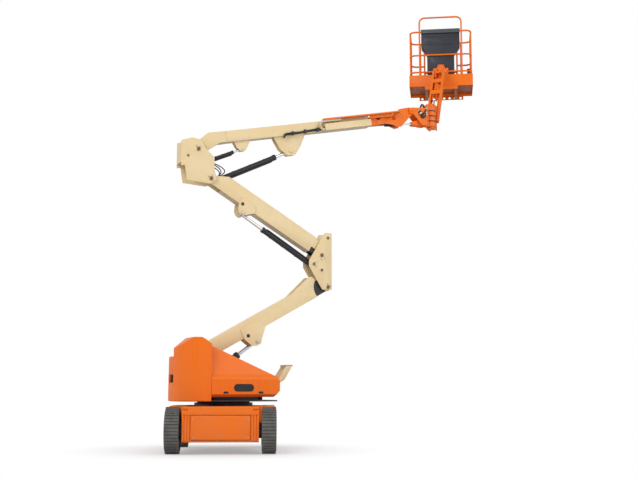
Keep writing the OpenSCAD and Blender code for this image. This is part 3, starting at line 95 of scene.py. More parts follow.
class NodeSheet:
    """Builds a material's nodes around one Principled shader, with patterns on Object coordinates."""

    def __init__(self, name: str) -> None:
        """Starts an empty sheet.

        Args:
            name: the material's name.
        """
        self.material = bpy.data.materials.new(name)
        self.material.use_nodes = True
        self.tree = self.material.node_tree
        self.tree.nodes.clear()
        self.shader = self.add("ShaderNodeBsdfPrincipled")
        output = self.add("ShaderNodeOutputMaterial")
        self.link(self.shader.outputs["BSDF"], output.inputs["Surface"])
        places = self.add("ShaderNodeTexCoord")
        self.coords = places.outputs["Object"]
        self.normal = places.outputs["Normal"]

    def add(self, kind: str) -> bpy.types.Node:
        """Returns a new node of that kind."""
        return self.tree.nodes.new(kind)

    def link(self, source: Socket, target: Socket) -> None:
        """Joins two sockets."""
        self.tree.links.new(source, target)

    def stretched(self, scale: Sequence[float]) -> Socket:
        """Returns the coordinates scaled by a factor on each axis."""
        mapping = self.add("ShaderNodeMapping")
        mapping.inputs["Scale"].default_value = scale
        self.link(self.coords, mapping.inputs["Vector"])
        return mapping.outputs["Vector"]

    def noise(
        self, scale: float, detail: float = 3.0, vector: Optional[Socket] = None
    ) -> Socket:
        """Adds a noise pattern.

        Args:
            scale: cells per metre.
            detail: octaves.
            vector: coordinates, or the plain Object ones.

        Returns:
            The pattern's value socket.
        """
        node = self.add("ShaderNodeTexNoise")
        node.inputs["Scale"].default_value = scale
        node.inputs["Detail"].default_value = detail
        self.link(vector or self.coords, node.inputs["Vector"])
        return node.outputs["Fac"]

    def underside(self) -> Socket:
        """Returns one on faces that look down and nothing on the others."""
        node = self.add("ShaderNodeSeparateXYZ")
        self.link(self.normal, node.inputs["Vector"])
        return self.remap(node.outputs["Z"], -0.85, -0.35, 1.0, 0.0)

    def height(self) -> Socket:
        """Returns the height over the floor."""
        node = self.add("ShaderNodeSeparateXYZ")
        self.link(self.coords, node.inputs["Vector"])
        return node.outputs["Z"]

    def remap(
        self, value: Socket, low: float, high: float, out_low: float, out_high: float
    ) -> Socket:
        """Returns the value carried from one range to another, clamped."""
        node = self.add("ShaderNodeMapRange")
        node.inputs["From Min"].default_value = low
        node.inputs["From Max"].default_value = high
        node.inputs["To Min"].default_value = out_low
        node.inputs["To Max"].default_value = out_high
        self.link(value, node.inputs["Value"])
        return node.outputs["Result"]

    def times(self, a: Socket, b: Socket) -> Socket:
        """Returns the product of two values."""
        node = self.add("ShaderNodeMath")
        node.operation = "MULTIPLY"
        self.link(a, node.inputs[0])
        self.link(b, node.inputs[1])
        return node.outputs["Value"]

    def tint(self, factor: Socket, below: object, above: Sequence[float]) -> Socket:
        """Mixes two colours.

        Args:
            factor: share of the second colour.
            below: first colour, or the socket that gives it.
            above: second colour.

        Returns:
            The mixed colour's socket.
        """
        node = self.add("ShaderNodeMix")
        node.data_type = "RGBA"
        self.link(factor, node.inputs["Factor"])
        if isinstance(below, Socket):
            self.link(below, node.inputs["A"])
        else:
            node.inputs["A"].default_value = (*below, 1.0)
        node.inputs["B"].default_value = (*above, 1.0)
        return node.outputs["Result"]

    def bump(self, value: Socket, depth: float, strength: float = 1.0) -> None:
        """Roughens the surface by a value, over a depth in metres."""
        node = self.add("ShaderNodeBump")
        node.inputs["Strength"].default_value = strength
        node.inputs["Distance"].default_value = depth
        self.link(value, node.inputs["Height"])
        self.link(node.outputs["Normal"], self.shader.inputs["Normal"])

    def give(self, name: str, value: float) -> None:
        """Sets one of the shader's own sockets."""
        self.shader.inputs[name].default_value = value

    def feed(self, name: str, value: Socket) -> None:
        """Drives one of the shader's own sockets."""
        self.link(value, self.shader.inputs[name])


@dataclass(frozen=True)
class Paint:
    """Sprayed enamel: faded patches, floor dust low down, painted shade mixed with grime on undersides, and fine orange
    peel.
    """

    name: str
    color: Triple
    faded: Triple
    dust: Triple = (0.33, 0.26, 0.19)
    dust_top: float = 1.1
    dust_share: float = 0.12
    # Colour and share of the painted shade, mixed with grime, that darkens faces looking down.
    grime_and_shade: Triple = (0.045, 0.028, 0.02)
    grime_and_shade_share: float = 0.42
    roughness: Pair = (0.34, 0.5)
    peel_depth: float = 0.0006
    specular: float = 0.2
    coat: float = 0.04

    def material(self) -> bpy.types.Material:
        """Returns the finished material."""
        sheet = NodeSheet(self.name)
        cloud = sheet.noise(1.7, 4.0)
        streak = sheet.noise(5.0, 5.0, sheet.stretched((3.0, 3.0, 0.5)))
        shade = sheet.tint(sheet.remap(cloud, 0.35, 0.75, 0.0, 0.7), self.color, self.faded)
        low = sheet.remap(sheet.height(), 0.0, self.dust_top, self.dust_share, 0.02)
        dirt = sheet.times(low, sheet.remap(streak, 0.35, 0.7, 0.2, 1.6))
        # Faces that look down darken in streaks: painted shade mixed with grime.
        heavy = sheet.remap(streak, 0.25, 0.75, 0.72 * self.grime_and_shade_share, 1.25 * self.grime_and_shade_share)
        below = sheet.times(sheet.underside(), heavy)
        dusty = sheet.tint(dirt, shade, self.dust)
        sheet.feed("Base Color", sheet.tint(below, dusty, self.grime_and_shade))
        sheet.feed("Roughness", sheet.remap(streak, 0.3, 0.7, *self.roughness))
        sheet.bump(sheet.noise(230.0, 2.0), self.peel_depth, 0.25)
        sheet.give("Specular IOR Level", self.specular)
        sheet.give("Coat Weight", self.coat)
        sheet.give("Coat Roughness", 0.2)
        return sheet.material


@dataclass(frozen=True)
class Rubber:
    """Solid rubber: worn grey with dust in broad patches and a coarse skin."""

    name: str
    color: Triple
    dust: Triple
    roughness: Pair = (0.72, 0.95)
    grain: float = 120.0
    grain_depth: float = 0.0015

    def material(self) -> bpy.types.Material:
        """Returns the finished material."""
        sheet = NodeSheet(self.name)
        patch = sheet.noise(7.0, 6.0)
        grain = sheet.noise(self.grain, 4.0)
        shade = sheet.tint(sheet.remap(patch, 0.35, 0.7, 0.0, 0.75), self.color, self.dust)
        sheet.feed("Base Color", shade)
        sheet.feed("Roughness", sheet.remap(grain, 0.3, 0.7, *self.roughness))
        sheet.bump(grain, self.grain_depth, 0.5)
        return sheet.material


@dataclass(frozen=True)
class Metal:
    """Bare ground or plated metal with fine draw marks along one axis."""

    name: str
    color: Triple
    roughness: Pair = (0.14, 0.3)
    marks: Triple = (8.0, 8.0, 160.0)

    def material(self) -> bpy.types.Material:
        """Returns the finished material."""
        sheet = NodeSheet(self.name)
        marks = sheet.noise(4.0, 3.0, sheet.stretched(self.marks))
        shade = sheet.tint(sheet.remap(marks, 0.3, 0.8, 0.0, 0.35), self.color, tuple(c * 0.7 for c in self.color))
        sheet.feed("Base Color", shade)
        sheet.feed("Roughness", sheet.remap(marks, 0.3, 0.7, *self.roughness))
        sheet.give("Metallic", 1.0)
        return sheet.material


@dataclass(frozen=True)
class Moulded:
    """Moulded plastic with a fine leathery grain and pale scuffs."""

    name: str
    color: Triple
    scuff: Triple
    roughness: Pair = (0.42, 0.62)
    grain: float = 420.0
    grain_depth: float = 0.0008

    def material(self) -> bpy.types.Material:
        """Returns the finished material."""
        sheet = NodeSheet(self.name)
        scuffs = sheet.noise(9.0, 7.0)
        grain = sheet.noise(self.grain, 2.0)
        shade = sheet.tint(sheet.remap(scuffs, 0.5, 0.8, 0.0, 0.6), self.color, self.scuff)
        sheet.feed("Base Color", shade)
        sheet.feed("Roughness", sheet.remap(scuffs, 0.35, 0.7, *self.roughness))
        sheet.bump(grain, self.grain_depth, 0.35)
        return sheet.material


ORANGE = (0.86, 0.158, 0.004)
ORANGE_FADED = (0.80, 0.168, 0.008)
CREAM = (0.74, 0.57, 0.315)
CREAM_FADED = (0.78, 0.63, 0.39)
NIGHT = (0.020, 0.022, 0.030)
NIGHT_FADED = (0.034, 0.036, 0.045)

FINISHES = {
    Slot.ORANGE: Paint("machine_orange", ORANGE, ORANGE_FADED),
    Slot.CREAM: Paint("boom_cream", CREAM, CREAM_FADED, dust_share=0.1, coat=0.15),
    Slot.DARK: Paint("frame_black", NIGHT, NIGHT_FADED, dust_share=0.25, coat=0.1),
    Slot.STEEL: Metal("rod_chrome", (0.70, 0.71, 0.73)),
    Slot.TYRE: Rubber("tyre_grey", (0.085, 0.085, 0.082), (0.155, 0.148, 0.133)),
    Slot.SHELL: Paint("cover_orange", ORANGE, ORANGE_FADED, roughness=(0.24, 0.38), peel_depth=0.0003, coat=0.1),
    Slot.BALLAST: Paint("ballast_orange", ORANGE, ORANGE_FADED, roughness=(0.36, 0.5), peel_depth=0.002),
    Slot.PLASTIC: Moulded("console_charcoal", (0.016, 0.018, 0.027), (0.034, 0.037, 0.048)),
    Slot.CHAIN: Moulded("chain_ivory", (0.60, 0.50, 0.33), (0.46, 0.38, 0.26)),
}
HOSE = Rubber("hose_black", (0.012, 0.012, 0.014), (0.03, 0.03, 0.03), (0.45, 0.65), 300.0, 0.0006)
ZINC = Metal("bolt_zinc", (0.52, 0.52, 0.50), (0.3, 0.5), (40.0, 40.0, 40.0))
PIN_STEEL = Metal("pin_steel", (0.17, 0.135, 0.11), (0.4, 0.6), (40.0, 40.0, 40.0))
PLATE_BLACK = Moulded("plate_black", (0.010, 0.010, 0.012), (0.02, 0.02, 0.022), (0.25, 0.4))
LID_GREY = Moulded("lid_grey", (0.060, 0.062, 0.070), (0.09, 0.092, 0.10))
LAMP_RED = Moulded("button_red", (0.55, 0.02, 0.015), (0.6, 0.05, 0.04), (0.25, 0.4))


NODE_FINISHES = {
    "swing_actuator": Paint("actuator_orange", ORANGE, ORANGE_FADED, dust_share=0.3, dust_top=9.0),
    # The floor's underside takes a larger share of painted shade mixed with grime.
    "platform_floor": Paint("floor_orange", ORANGE, ORANGE_FADED, dust_share=0.12, grime_and_shade_share=0.75),
}


class FinishShop:
    """Makes each finish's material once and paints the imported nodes."""

    def __init__(self) -> None:
        """Starts with no material made."""
        self.made: dict[str, bpy.types.Material] = {}

    def of(self, finish: object) -> bpy.types.Material:
        """Returns the material of a finish, made on first use."""
        if finish.name not in self.made:
            self.made[finish.name] = finish.material()
        return self.made[finish.name]

    def paint_nodes(self) -> None:
        """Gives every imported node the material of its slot."""
        slots = {part["node"]: Slot(part["material_slot"]) for part in frame["record"]["subparts"]}
        for node, obj in frame["nodes"].items():
            material = self.of(NODE_FINISHES.get(node, FINISHES[slots[node]]))
            if not obj.material_slots:
                obj.data.materials.append(material)
            for holder in obj.material_slots:
                holder.material = material
        LOG.info("painted %d nodes", len(frame["nodes"]))


SHOP = FinishShop()


# Geometry


@dataclass(frozen=True)
class Axes:
    """A right-handed frame in the row's space."""

    origin: Array
    along: Array
    side: Array
    up: Array

    def place(self, points: Array) -> Array:
        """Returns local points, along, side and up, in the row's space."""
        return self.origin + np.asarray(points, float) @ self.matrix()

    def matrix(self) -> Array:
        """Returns the three unit vectors as rows."""
        return np.stack((self.along, self.side, self.up))

    def shifted(self, along: float = 0.0, side: float = 0.0, up: float = 0.0) -> "Axes":
        """Returns the same axes at a local point."""
        return Axes(self.place((along, side, up)), self.along, self.side, self.up)

    def circle(self, radius: float, count: int, up: float = 0.0) -> list["Axes"]:
        """Returns the same axes at equal steps round a circle about the up vector."""
        turns = np.linspace(0.0, FULL_TURN, count, endpoint=False)
        return [self.shifted(radius * math.cos(t), radius * math.sin(t), up) for t in turns]

    def facing_out(self) -> "Axes":
        """Returns axes whose up vector is the old side vector, with height as the new side where it is right-handed."""
        return Axes(self.origin, self.along, np.cross(self.side, self.along), self.side)

    def side_sign(self) -> float:
        """Returns one where the side vector points up, and minus one where it points down."""
        return math.copysign(1.0, self.side[2])

    def facing(self, side: Side) -> "Axes":
        """Returns axes whose up vector points out of that side of the plane."""
        out = self.side * side.value
        return Axes(self.origin, self.along, np.cross(out, self.along), out)


def grid_faces(rows: int, columns: int, wrap: bool) -> Array:
    """Index of the four corners of each cell of a grid, with its columns closed into a ring if wrap is set."""
    index = np.arange(rows * columns).reshape(rows, columns)
    if wrap:
        index = np.concatenate((index, index[:, :1]), axis=1)
    corners = (index[:-1, :-1], index[:-1, 1:], index[1:, 1:], index[1:, :-1])
    return np.stack(corners, axis=-1).reshape(-1, 4)


class MeshPile:
    """Collects surfaces into one mesh object."""

    def __init__(self, name: str) -> None:
        """Starts an empty pile.

        Args:
            name: the object's name.
        """
        self.name = name
        self.points: list[Array] = []
        self.faces: list[list[int]] = []
        self.count = 0

    def shell(self, points: Array, faces: Iterable[Sequence[int]]) -> None:
        """Adds a mesh of points and faces."""
        self.points.append(np.asarray(points, float).reshape(-1, 3))
        self.faces.extend([[i + self.count for i in face] for face in faces])
        self.count += len(self.points[-1])

    def rings(self, surface: Array, caps: bool = True) -> None:
        """Adds rings of points, joined row to row and closed round each row.

        Args:
            surface: rows by columns by 3.
            caps: closes the first and last ring with one face each.
        """
        rows, columns = surface.shape[:2]
        faces = grid_faces(rows, columns, True).tolist()
        if caps:
            faces.append(list(range(columns))[::-1])
            faces.append(list(range((rows - 1) * columns, rows * columns)))
        self.shell(surface, faces)

    def lathe(self, axes: Axes, profile: Sequence[Sequence[float]], segments: int = 32) -> None:
        """Revolves a profile: radius and height at angle a give r cos a, r sin a and h.

        Args:
            axes: the profile turns about its up vector.
            profile: pairs of radius and height, from one end to the other.
            segments: columns round the turn.
        """
        self.rings(axes.place(revolved(profile, segments)))

    def hoop(self, axes: Axes, profile: Sequence[Sequence[float]], segments: int = 32) -> None:
        """Revolves a closed profile into a ring that stays open in the middle.

        Args:
            axes: the profile turns about its up vector.
            profile: pairs of radius and height, in turn round the section.
            segments: columns round the turn.
        """
        self.rings(axes.place(revolved([*profile, profile[0]], segments)), caps=False)

    def prism(self, axes: Axes, outline: Array, low: float, high: float, chamfer: float = 0.0) -> None:
        """Extrudes a convex outline along the up vector, its rims drawn in towards the middle by the chamfer.

        Args:
            axes: the outline lies along and side.
            outline: pairs of points.
            low: start of the extrusion.
            high: end of the extrusion.
            chamfer: width of the bevel on both rims.
        """
        outline = np.asarray(outline, float)
        middle = outline.mean(axis=0)
        reach = np.linalg.norm(outline - middle, axis=1, keepdims=True)
        drawn = middle + (outline - middle) * (1.0 - chamfer / reach)
        rims = ((drawn, low), (outline, low + chamfer), (outline, high - chamfer), (drawn, high))
        rims = rims if chamfer > 0.0 else ((outline, low), (outline, high))
        rows = [np.column_stack((rim, np.full(len(rim), level))) for rim, level in rims]
        self.rings(axes.place(np.stack(rows)))

    def pipe(self, path: Array, radius: float, normal: Array, sides: int = 12) -> None:
        """Carries a circle along a path: each point adds r (n cos a + b sin a), n and b square to the path.

        Args:
            path: points to follow.
            radius: radius of the circle.
            normal: a vector that the path never runs along.
            sides: columns round the circle.
        """
        path = np.asarray(path, float)
        tangent = np.gradient(path, axis=0)
        tangent /= np.linalg.norm(tangent, axis=1, keepdims=True)
        across = np.cross(tangent, normal)
        across /= np.linalg.norm(across, axis=1, keepdims=True)
        square = np.cross(across, tangent)
        angle = np.linspace(0.0, FULL_TURN, sides, endpoint=False)[None, :, None]
        ring = across[:, None] * np.cos(angle) + square[:, None] * np.sin(angle)
        self.rings(path[:, None] + radius * ring)

    def scatter(self, places: Sequence[Axes], surface: Array) -> None:
        """Repeats a capped set of rings at many places.

        Args:
            places: axes of each copy.
            surface: rows by columns by 3, in local coordinates.
        """
        for axes in places:
            self.rings(axes.place(surface))

    def finish(self, finish: object, body: str, slot: Optional[Slot] = None, bevel: float = 0.0,
               smooth: bool = True) -> bpy.types.Object:
        """Turns the pile into an object that rides on a body.

        Args:
            finish: the record's slot it takes its finish from, or a finish of its own.
            body: the body it moves with.
            slot: the record's slot that a finish of its own stands for; not used.
            bevel: width of a bevel on its sharp edges.
            smooth: shades flat facets smooth under 40 degrees.

        Returns:
            The new object.
        """
        if isinstance(finish, Slot):
            slot, finish = finish, FINISHES[finish]
        mesh = bpy.data.meshes.new(self.name)
        mesh.from_pydata(np.concatenate(self.points).tolist(), [], self.faces)
        shape = bmesh.new()
        shape.from_mesh(mesh)
        bmesh.ops.remove_doubles(shape, verts=shape.verts, dist=1e-6)
        bmesh.ops.recalc_face_normals(shape, faces=shape.faces)
        shape.to_mesh(mesh)
        shape.free()
        if smooth:
            mesh.shade_smooth()
            mesh.set_sharp_from_angle(angle=math.radians(40.0))
        obj = bpy.data.objects.new(self.name, mesh)
        bpy.context.scene.collection.objects.link(obj)
        mesh.materials.append(SHOP.of(finish))
        if bevel > 0.0:
            rounding = obj.modifiers.new("rounding", "BEVEL")
            rounding.width = bevel
            rounding.segments = 2
            rounding.limit_method = "ANGLE"
        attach(obj, body)
        LOG.info("%s rides on %s", self.name, body)
        return obj


def revolved(profile: Sequence[Sequence[float]], segments: int) -> Array:
    """Returns the rings of a profile of radius and height turned about the up axis."""
    profile = np.asarray(profile, float)
    angle = np.linspace(0.0, FULL_TURN, segments, endpoint=False)
    radius = profile[:, :1]
    height = np.broadcast_to(profile[:, 1:], (len(profile), segments))
    return np.stack((radius * np.cos(angle), radius * np.sin(angle), height), axis=-1)


def rounded_outline(width: float, height: float, radius: float, steps: int = 6) -> Array:
    """Returns a rectangle with quarter-circle corners, as pairs of points."""
    angle = np.linspace(0.0, math.pi / 2.0, steps)
    arc = radius * np.stack((np.cos(angle), np.sin(angle)), axis=-1)
    half = np.array((width / 2.0 - radius, height / 2.0 - radius))
    quarter = half + arc
    turns = [quarter, (quarter * (-1, 1))[::-1], quarter * (-1, -1), (quarter * (1, -1))[::-1]]
    return np.concatenate(turns)


def bolt_rings(size: float) -> Array:
    """Returns a hexagon head with its washer: six-sided rings of radius over height."""
    head = 0.92 * size
    profile = ((1.15 * size, 0.0), (1.15 * size, 0.14 * size), (head, 0.16 * size), (head, 0.62 * size),
               (0.76 * size, 0.76 * size), (0.02 * size, 0.78 * size))
    return revolved(profile, 6)


def arc_path(start: Array, end: Array, lift: Array, count: int = 24) -> Array:
    """Returns a smooth path: the straight run between two points plus a half sine of a lift."""
    share = np.linspace(0.0, 1.0, count)[:, None]
    return start + (end - start) * share + lift * np.sin(math.pi * share)


# The machine's own axes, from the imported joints


class Rig:
    """Pins and planes of the linkage at rest."""

    platform_deg: float = 79.5
    floor_drop: float = 0.115

    def __init__(self) -> None:
        """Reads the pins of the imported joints."""
        self.joints = {joint["name"]: joint for joint in frame["joints"]}
        self.across = -self.axis("tower_lift")
        self.forward = np.cross(self.across, UP)
        self.jib_across = -self.axis("jib_lift")

    def pin(self, joint: str) -> Array:
        """Returns where a hinge turns."""
        return np.array(self.joints[joint]["pos_m"], float)

    def axis(self, joint: str) -> Array:
        """Returns the axis of a joint."""
        return unit(self.joints[joint]["axis"])

    def plane(self, origin: Array) -> Axes:
        """Returns upright axes of the boom plane at a point."""
        return Axes(origin, self.forward, self.across, UP)

    def run(self, start: Array, direction: Array, across: Array) -> Axes:
        """Returns axes along a boom that starts at a pin."""
        along = unit(direction)
        return Axes(start, along, across, np.cross(along, across))

    def lower(self) -> Axes:
        """Returns axes along the lower tower boom."""
        foot = self.pin("tower_lift")
        return self.run(foot, self.pin("knuckle_level") - foot, self.across)

    def upper(self) -> Axes:
        """Returns axes along the upper tower boom, from its head down."""
        head = self.pin("upright_level")
        return self.run(head, self.pin("upper_lift") - head, self.across)

    def main(self) -> Axes:
        """Returns axes along the main boom."""
        return self.run(self.pin("main_lift"), self.axis("telescope"), self.across)

    def jib(self) -> Axes:
        """Returns axes along the jib."""
        foot = self.pin("jib_lift")
        return self.run(foot, self.pin("head_level") - foot, self.jib_across)

    def platform(self) -> Axes:
        """Returns upright axes of the platform's floor, from the rotator away from the jib."""
        angle = math.radians(self.platform_deg)
        along = np.array((math.cos(angle), math.sin(angle), 0.0))
        return Axes(self.pin("platform_turn") - UP * self.floor_drop, along, np.cross(UP, along), UP)

    def ram(self, name: str, across: Array) -> Axes:
        """Returns axes along a ram, from its foot pin."""
        return self.run(self.pin(name + "_turn"), self.axis(name + "_stroke"), across)


RIG = Rig()


# Sub-assemblies


@dataclass
class PinHeads:
    """Worn ends of the big pins, with the keeper plates and bolts beside them."""

    plate_length: float = 0.10
    plate_width: float = 0.036
    plate_thick: float = 0.008
    bolt_size: float = 0.013
    cap_depth: float = 0.005
    pin_reach: float = 0.016
    cheek: float = 0.146
    link_radius: float = 0.0262
    link_pins: Sequence[Pair] = ((-0.120, 0.2978), (0.0, 0.8786))
    places: Sequence[tuple[str, str, float, float]] = (
        ("knuckle_level", "knuckle", 0.035, 60.0),
        ("upper_lift", "knuckle", 0.035, -60.0),
        ("upper_ram_turn", "knuckle", 0.026, 0.0),
        ("upright_level", "tower_upright", 0.035, 100.0),
        ("main_lift", "tower_upright", 0.035, 90.0),
    )

    def build(self) -> None:
        """Makes one set of keepers for each body that holds pins."""
        for body in sorted({place[1] for place in self.places}):
            plates = MeshPile(f"{body}_keepers")
            bolts = MeshPile(f"{body}_keeper_bolts")
            caps = MeshPile(f"{body}_pin_caps")
            for joint, _, radius, turn in (p for p in self.places if p[1] == body):
                for side in Side:
                    axes = RIG.plane(RIG.pin(joint)).facing(side).shifted(up=self.cheek)
                    self.keeper(plates, bolts, axes, radius, turn)
                    self.cap(caps, axes.shifted(up=self.pin_reach), radius)
            for along, rise in self.link_pins if body == "knuckle" else ():
                spot = RIG.plane(RIG.pin("knuckle_level")).shifted(along, 0.0, rise)
                for side in Side:
                    self.cap(caps, spot.facing(side).shifted(up=self.cheek + self.pin_reach), self.link_radius)
            plates.finish(Slot.CREAM, body)
            bolts.finish(ZINC, body, smooth=False)
            caps.finish(PIN_STEEL, body)

    def cap(self, caps: MeshPile, axes: Axes, radius: float) -> None:
        """Adds the worn end of a pin: a turned disc with a rounded rim and a centre dimple.

        Args:
            caps: pile of the caps.
            axes: at the pin's end, facing out.
            radius: the pin's radius.
        """
        high = self.cap_depth
        caps.lathe(axes, ((0.96 * radius, -0.003), (0.96 * radius, high - 0.004), (0.84 * radius, high),
                          (0.26 * radius, high), (0.20 * radius, high - 0.004), (0.02 * radius, high - 0.004)), 28)

    def keeper(self, plates: MeshPile, bolts: MeshPile, axes: Axes, radius: float, turn: float) -> None:
        """Adds a keeper plate with two bolts on a cheek's face.

        Args:
            plates: pile of the plates.
            bolts: pile of the bolts.
            axes: on the cheek's face at the pin, facing out.
            radius: the pin's radius.
            turn: degrees from the boom plane's forward way to the plate.
        """
        angle = math.radians(turn)
        way = axes.along * math.cos(angle) + axes.side * math.sin(angle)
        local = Axes(axes.origin, np.cross(way, axes.up), way, axes.up)
        local = local.shifted(side=radius + self.plate_width / 2.0 + 0.001)
        outline = rounded_outline(self.plate_length, self.plate_width, self.plate_width * 0.3)
        plates.prism(local, outline, 0.0, self.plate_thick, 0.0015)
        spots = [local.shifted(along=step * self.plate_length * 0.32, up=self.plate_thick) for step in (-1, 1)]
        bolts.scatter(spots, bolt_rings(self.bolt_size))


@dataclass
class RamDress:
    """Hard lines and bands along the barrel of a hydraulic ram."""

    name: str
    radius: float
    jib: bool = False
    line_radius: float = 0.009
    line_turns: Pair = (-120.0, -86.0)
    tuck_from: float = 0.93
    band_shares: Sequence[float] = (0.3, 0.58, 0.82)
    band_rise: float = 0.004
    band_depth: float = 0.0045

    def reach(self, axes: Axes) -> float:
        """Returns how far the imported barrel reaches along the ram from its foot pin."""
        barrel = frame["nodes"][self.name.replace("_ram", "_barrel")]
        flat = np.empty(3 * len(barrel.data.vertices))
        barrel.data.vertices.foreach_get("co", flat)
        turn = np.array(barrel.matrix_world)
        points = flat.reshape(-1, 3) @ turn[:3, :3].T + turn[:3, 3]
        reach = float(((points - axes.origin) @ axes.along).max())
        LOG.info("%s reaches %.3f m from its pin", barrel.name, reach)
        return reach

    def build(self) -> None:
        """Makes the lines, which tuck in towards the barrel's end, and the bands of this ram."""
        axes = RIG.ram(self.name, RIG.jib_across if self.jib else RIG.across)
        length = self.reach(axes)
        start = axes.place((self.radius * 1.6, 0, 0))
        end = axes.place((length - self.radius, 0, 0))
        share = np.linspace(0.0, 1.0, 25)[:, None]
        tuck = np.clip((share - self.tuck_from) / (1.0 - self.tuck_from), 0.0, 1.0) ** 2
        reach = self.radius + self.line_radius * 1.1
        lift = reach - (reach - self.radius * 0.75) * tuck
        lines = MeshPile(f"{self.name}_lines")
        for turn in self.line_turns:
            angle = math.radians(turn)
            out = axes.side * math.cos(angle) + axes.up * math.sin(angle)
            lines.pipe(start + (end - start) * share + out * lift, self.line_radius, axes.side + axes.up * 0.3)
        bands = MeshPile(f"{self.name}_bands")
        high = self.radius + self.band_rise
        low = high - self.band_depth
        width = self.radius * 0.22
        for spot in self.band_shares:
            ring = Axes(axes.place((length * spot, 0, 0)), axes.side, axes.up, axes.along)
            bands.hoop(ring, ((low, -width), (high, -width), (high, width), (low, width)))
        lines.finish(HOSE, self.name)
        bands.finish(Slot.DARK, self.name)


@dataclass
class WheelDress:
    """Wheel nuts and hub cap of one wheel."""

    end: str
    hand: str
    nut_circle: float = 0.106
    nut_count: int = 9
    nut_size: float = 0.015
    disc_half: float = 0.007
    cap_radius: float = 0.058
    cap_height: float = 0.022
    hub_reach: float = 0.054

    def build(self) -> None:
        """Makes the nuts and the cap on the outer face of the rim's disc."""
        body = f"wheel_{self.end}_{self.hand}"
        centre = RIG.pin(f"{body}_spin")
        out = np.array((math.copysign(1.0, centre[0]), 0.0, 0.0))
        axes = Axes(centre, np.cross(UP, out), UP, out)
        nuts = MeshPile(f"{body}_nuts")
        nuts.scatter(axes.circle(self.nut_circle, self.nut_count, self.disc_half), bolt_rings(self.nut_size))
        nuts.finish(ZINC, body, smooth=False)
        cap = MeshPile(f"{body}_cap")
        dome = [(self.cap_radius, 0.0), (self.cap_radius, self.cap_height * 0.4)]
        bend = np.linspace(0.0, math.pi / 2.0, 7)[1:]
        dome += [
            (self.cap_radius * 0.9 * math.cos(b) + 0.001, self.cap_height * (0.4 + 0.6 * math.sin(b))) for b in bend
        ]
        cap.lathe(axes.shifted(up=self.hub_reach), dome)
        cap.finish(Slot.DARK, body)


@dataclass
class EdgeSoftener:
    """Rolled and welded edges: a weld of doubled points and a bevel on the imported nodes."""

    segments: int = 2
    limit_deg: float = 35.0
    weld_gap: float = 0.00005
    widths: dict[str, float] = field(
        default_factory=lambda: {
            "chassis_frame": 0.005, "end_cover": 0.008, "counterweight": 0.018,
            "lower_boom": 0.004, "upper_boom": 0.004, "main_boom": 0.004, "fly_boom": 0.004,
            "tower_knuckle": 0.003, "upright": 0.003, "level_bracket": 0.003, "jib_yoke": 0.004,
            "jib_arm": 0.007, "jib_link": 0.003, "platform_bracket": 0.004, "platform_floor": 0.002,
            "boom_rest": 0.003, "turntable_frame": 0.003, "swing_actuator": 0.004, "steer_axle": 0.006,
            "knuckle_left": 0.004, "knuckle_right": 0.004, "power_units": 0.012, "battery_blocks": 0.008,
        }
    )

    def build(self) -> None:
        """Adds the two modifiers to each listed node."""
        for node, width in self.widths.items():
            obj = frame["nodes"][node]
            weld = obj.modifiers.new("weld", "WELD")
            weld.merge_threshold = self.weld_gap
            bevel = obj.modifiers.new("edge", "BEVEL")
            bevel.width = width
            bevel.segments = self.segments
            bevel.limit_method = "ANGLE"
            bevel.angle_limit = math.radians(self.limit_deg)
            bevel.harden_normals = True
            obj.data.shade_smooth()
        LOG.info("softened %d nodes", len(self.widths))


def extruded(spans: Sequence[tuple[Triple, Triple]]) -> Form:
    """Makes a closed prism.

    Args:
        spans: the two ends of each long edge, in turn around the section.

    Returns:
        The prism.
    """
    shape = bmesh.new()
    ends = [[shape.verts.new(span[k]) for span in spans] for k in (0, 1)]
    count = len(spans)
    shape.faces.new(ends[0][::-1])
    shape.faces.new(ends[1])
    for i in range(count):
        shape.faces.new((ends[0][i], ends[0][(i + 1) % count], ends[1][(i + 1) % count], ends[1][i]))
    bmesh.ops.recalc_face_normals(shape, faces=shape.faces)
    return shape


def slice_off(shape: Form, point: Triple, normal: Triple) -> None:
    """Cuts a closed form by a plane, drops what lies beyond the plane and closes the cut."""
    geometry = shape.verts[:] + shape.edges[:] + shape.faces[:]
    cut = bmesh.ops.bisect_plane(shape, geom=geometry, dist=1e-6, plane_co=point, plane_no=normal, clear_outer=True)
    rim = [item for item in cut["geom_cut"] if isinstance(item, Edge)]
    if rim:
        bmesh.ops.edgeloop_fill(shape, edges=rim)
        bmesh.ops.recalc_face_normals(shape, faces=shape.faces)


def round_edges(
    shape: Form, width: float, segments: int, wanted: Callable[[Edge], bool]
) -> None:
    """Bevels the edges that a test picks."""
    edges = [edge for edge in shape.edges if len(edge.link_faces) == 2 and wanted(edge)]
    bmesh.ops.bevel(shape, geom=edges, offset=width, segments=segments, profile=0.5, affect="EDGES", clamp_overlap=True)


def thicken(obj: bpy.types.Object, wall: float) -> None:
    """Gives a skin its wall on the inner side, and lets its large faces set the shading of the roundings."""
    solid = obj.modifiers.new("wall", "SOLIDIFY")
    solid.thickness = wall
    solid.offset = -1.0
    shading = obj.modifiers.new("shading", "WEIGHTED_NORMAL")
    shading.weight = 80
    shading.keep_sharp = True


def drop_faces(shape: Form, hidden: Callable[[Face], bool]) -> None:
    """Deletes the faces that a test picks."""
    bmesh.ops.delete(shape, geom=[face for face in shape.faces if hidden(face)], context="FACES")


def taken(shape: Form, axes: Axes) -> tuple[Array, list[list[int]]]:
    """Returns a form's points, placed by the axes, and its faces, and frees the form."""
    shape.verts.index_update()
    points = axes.place(np.array([vert.co[:] for vert in shape.verts]))
    faces = [[vert.index for vert in face.verts] for face in shape.faces]
    shape.free()
    return points, faces


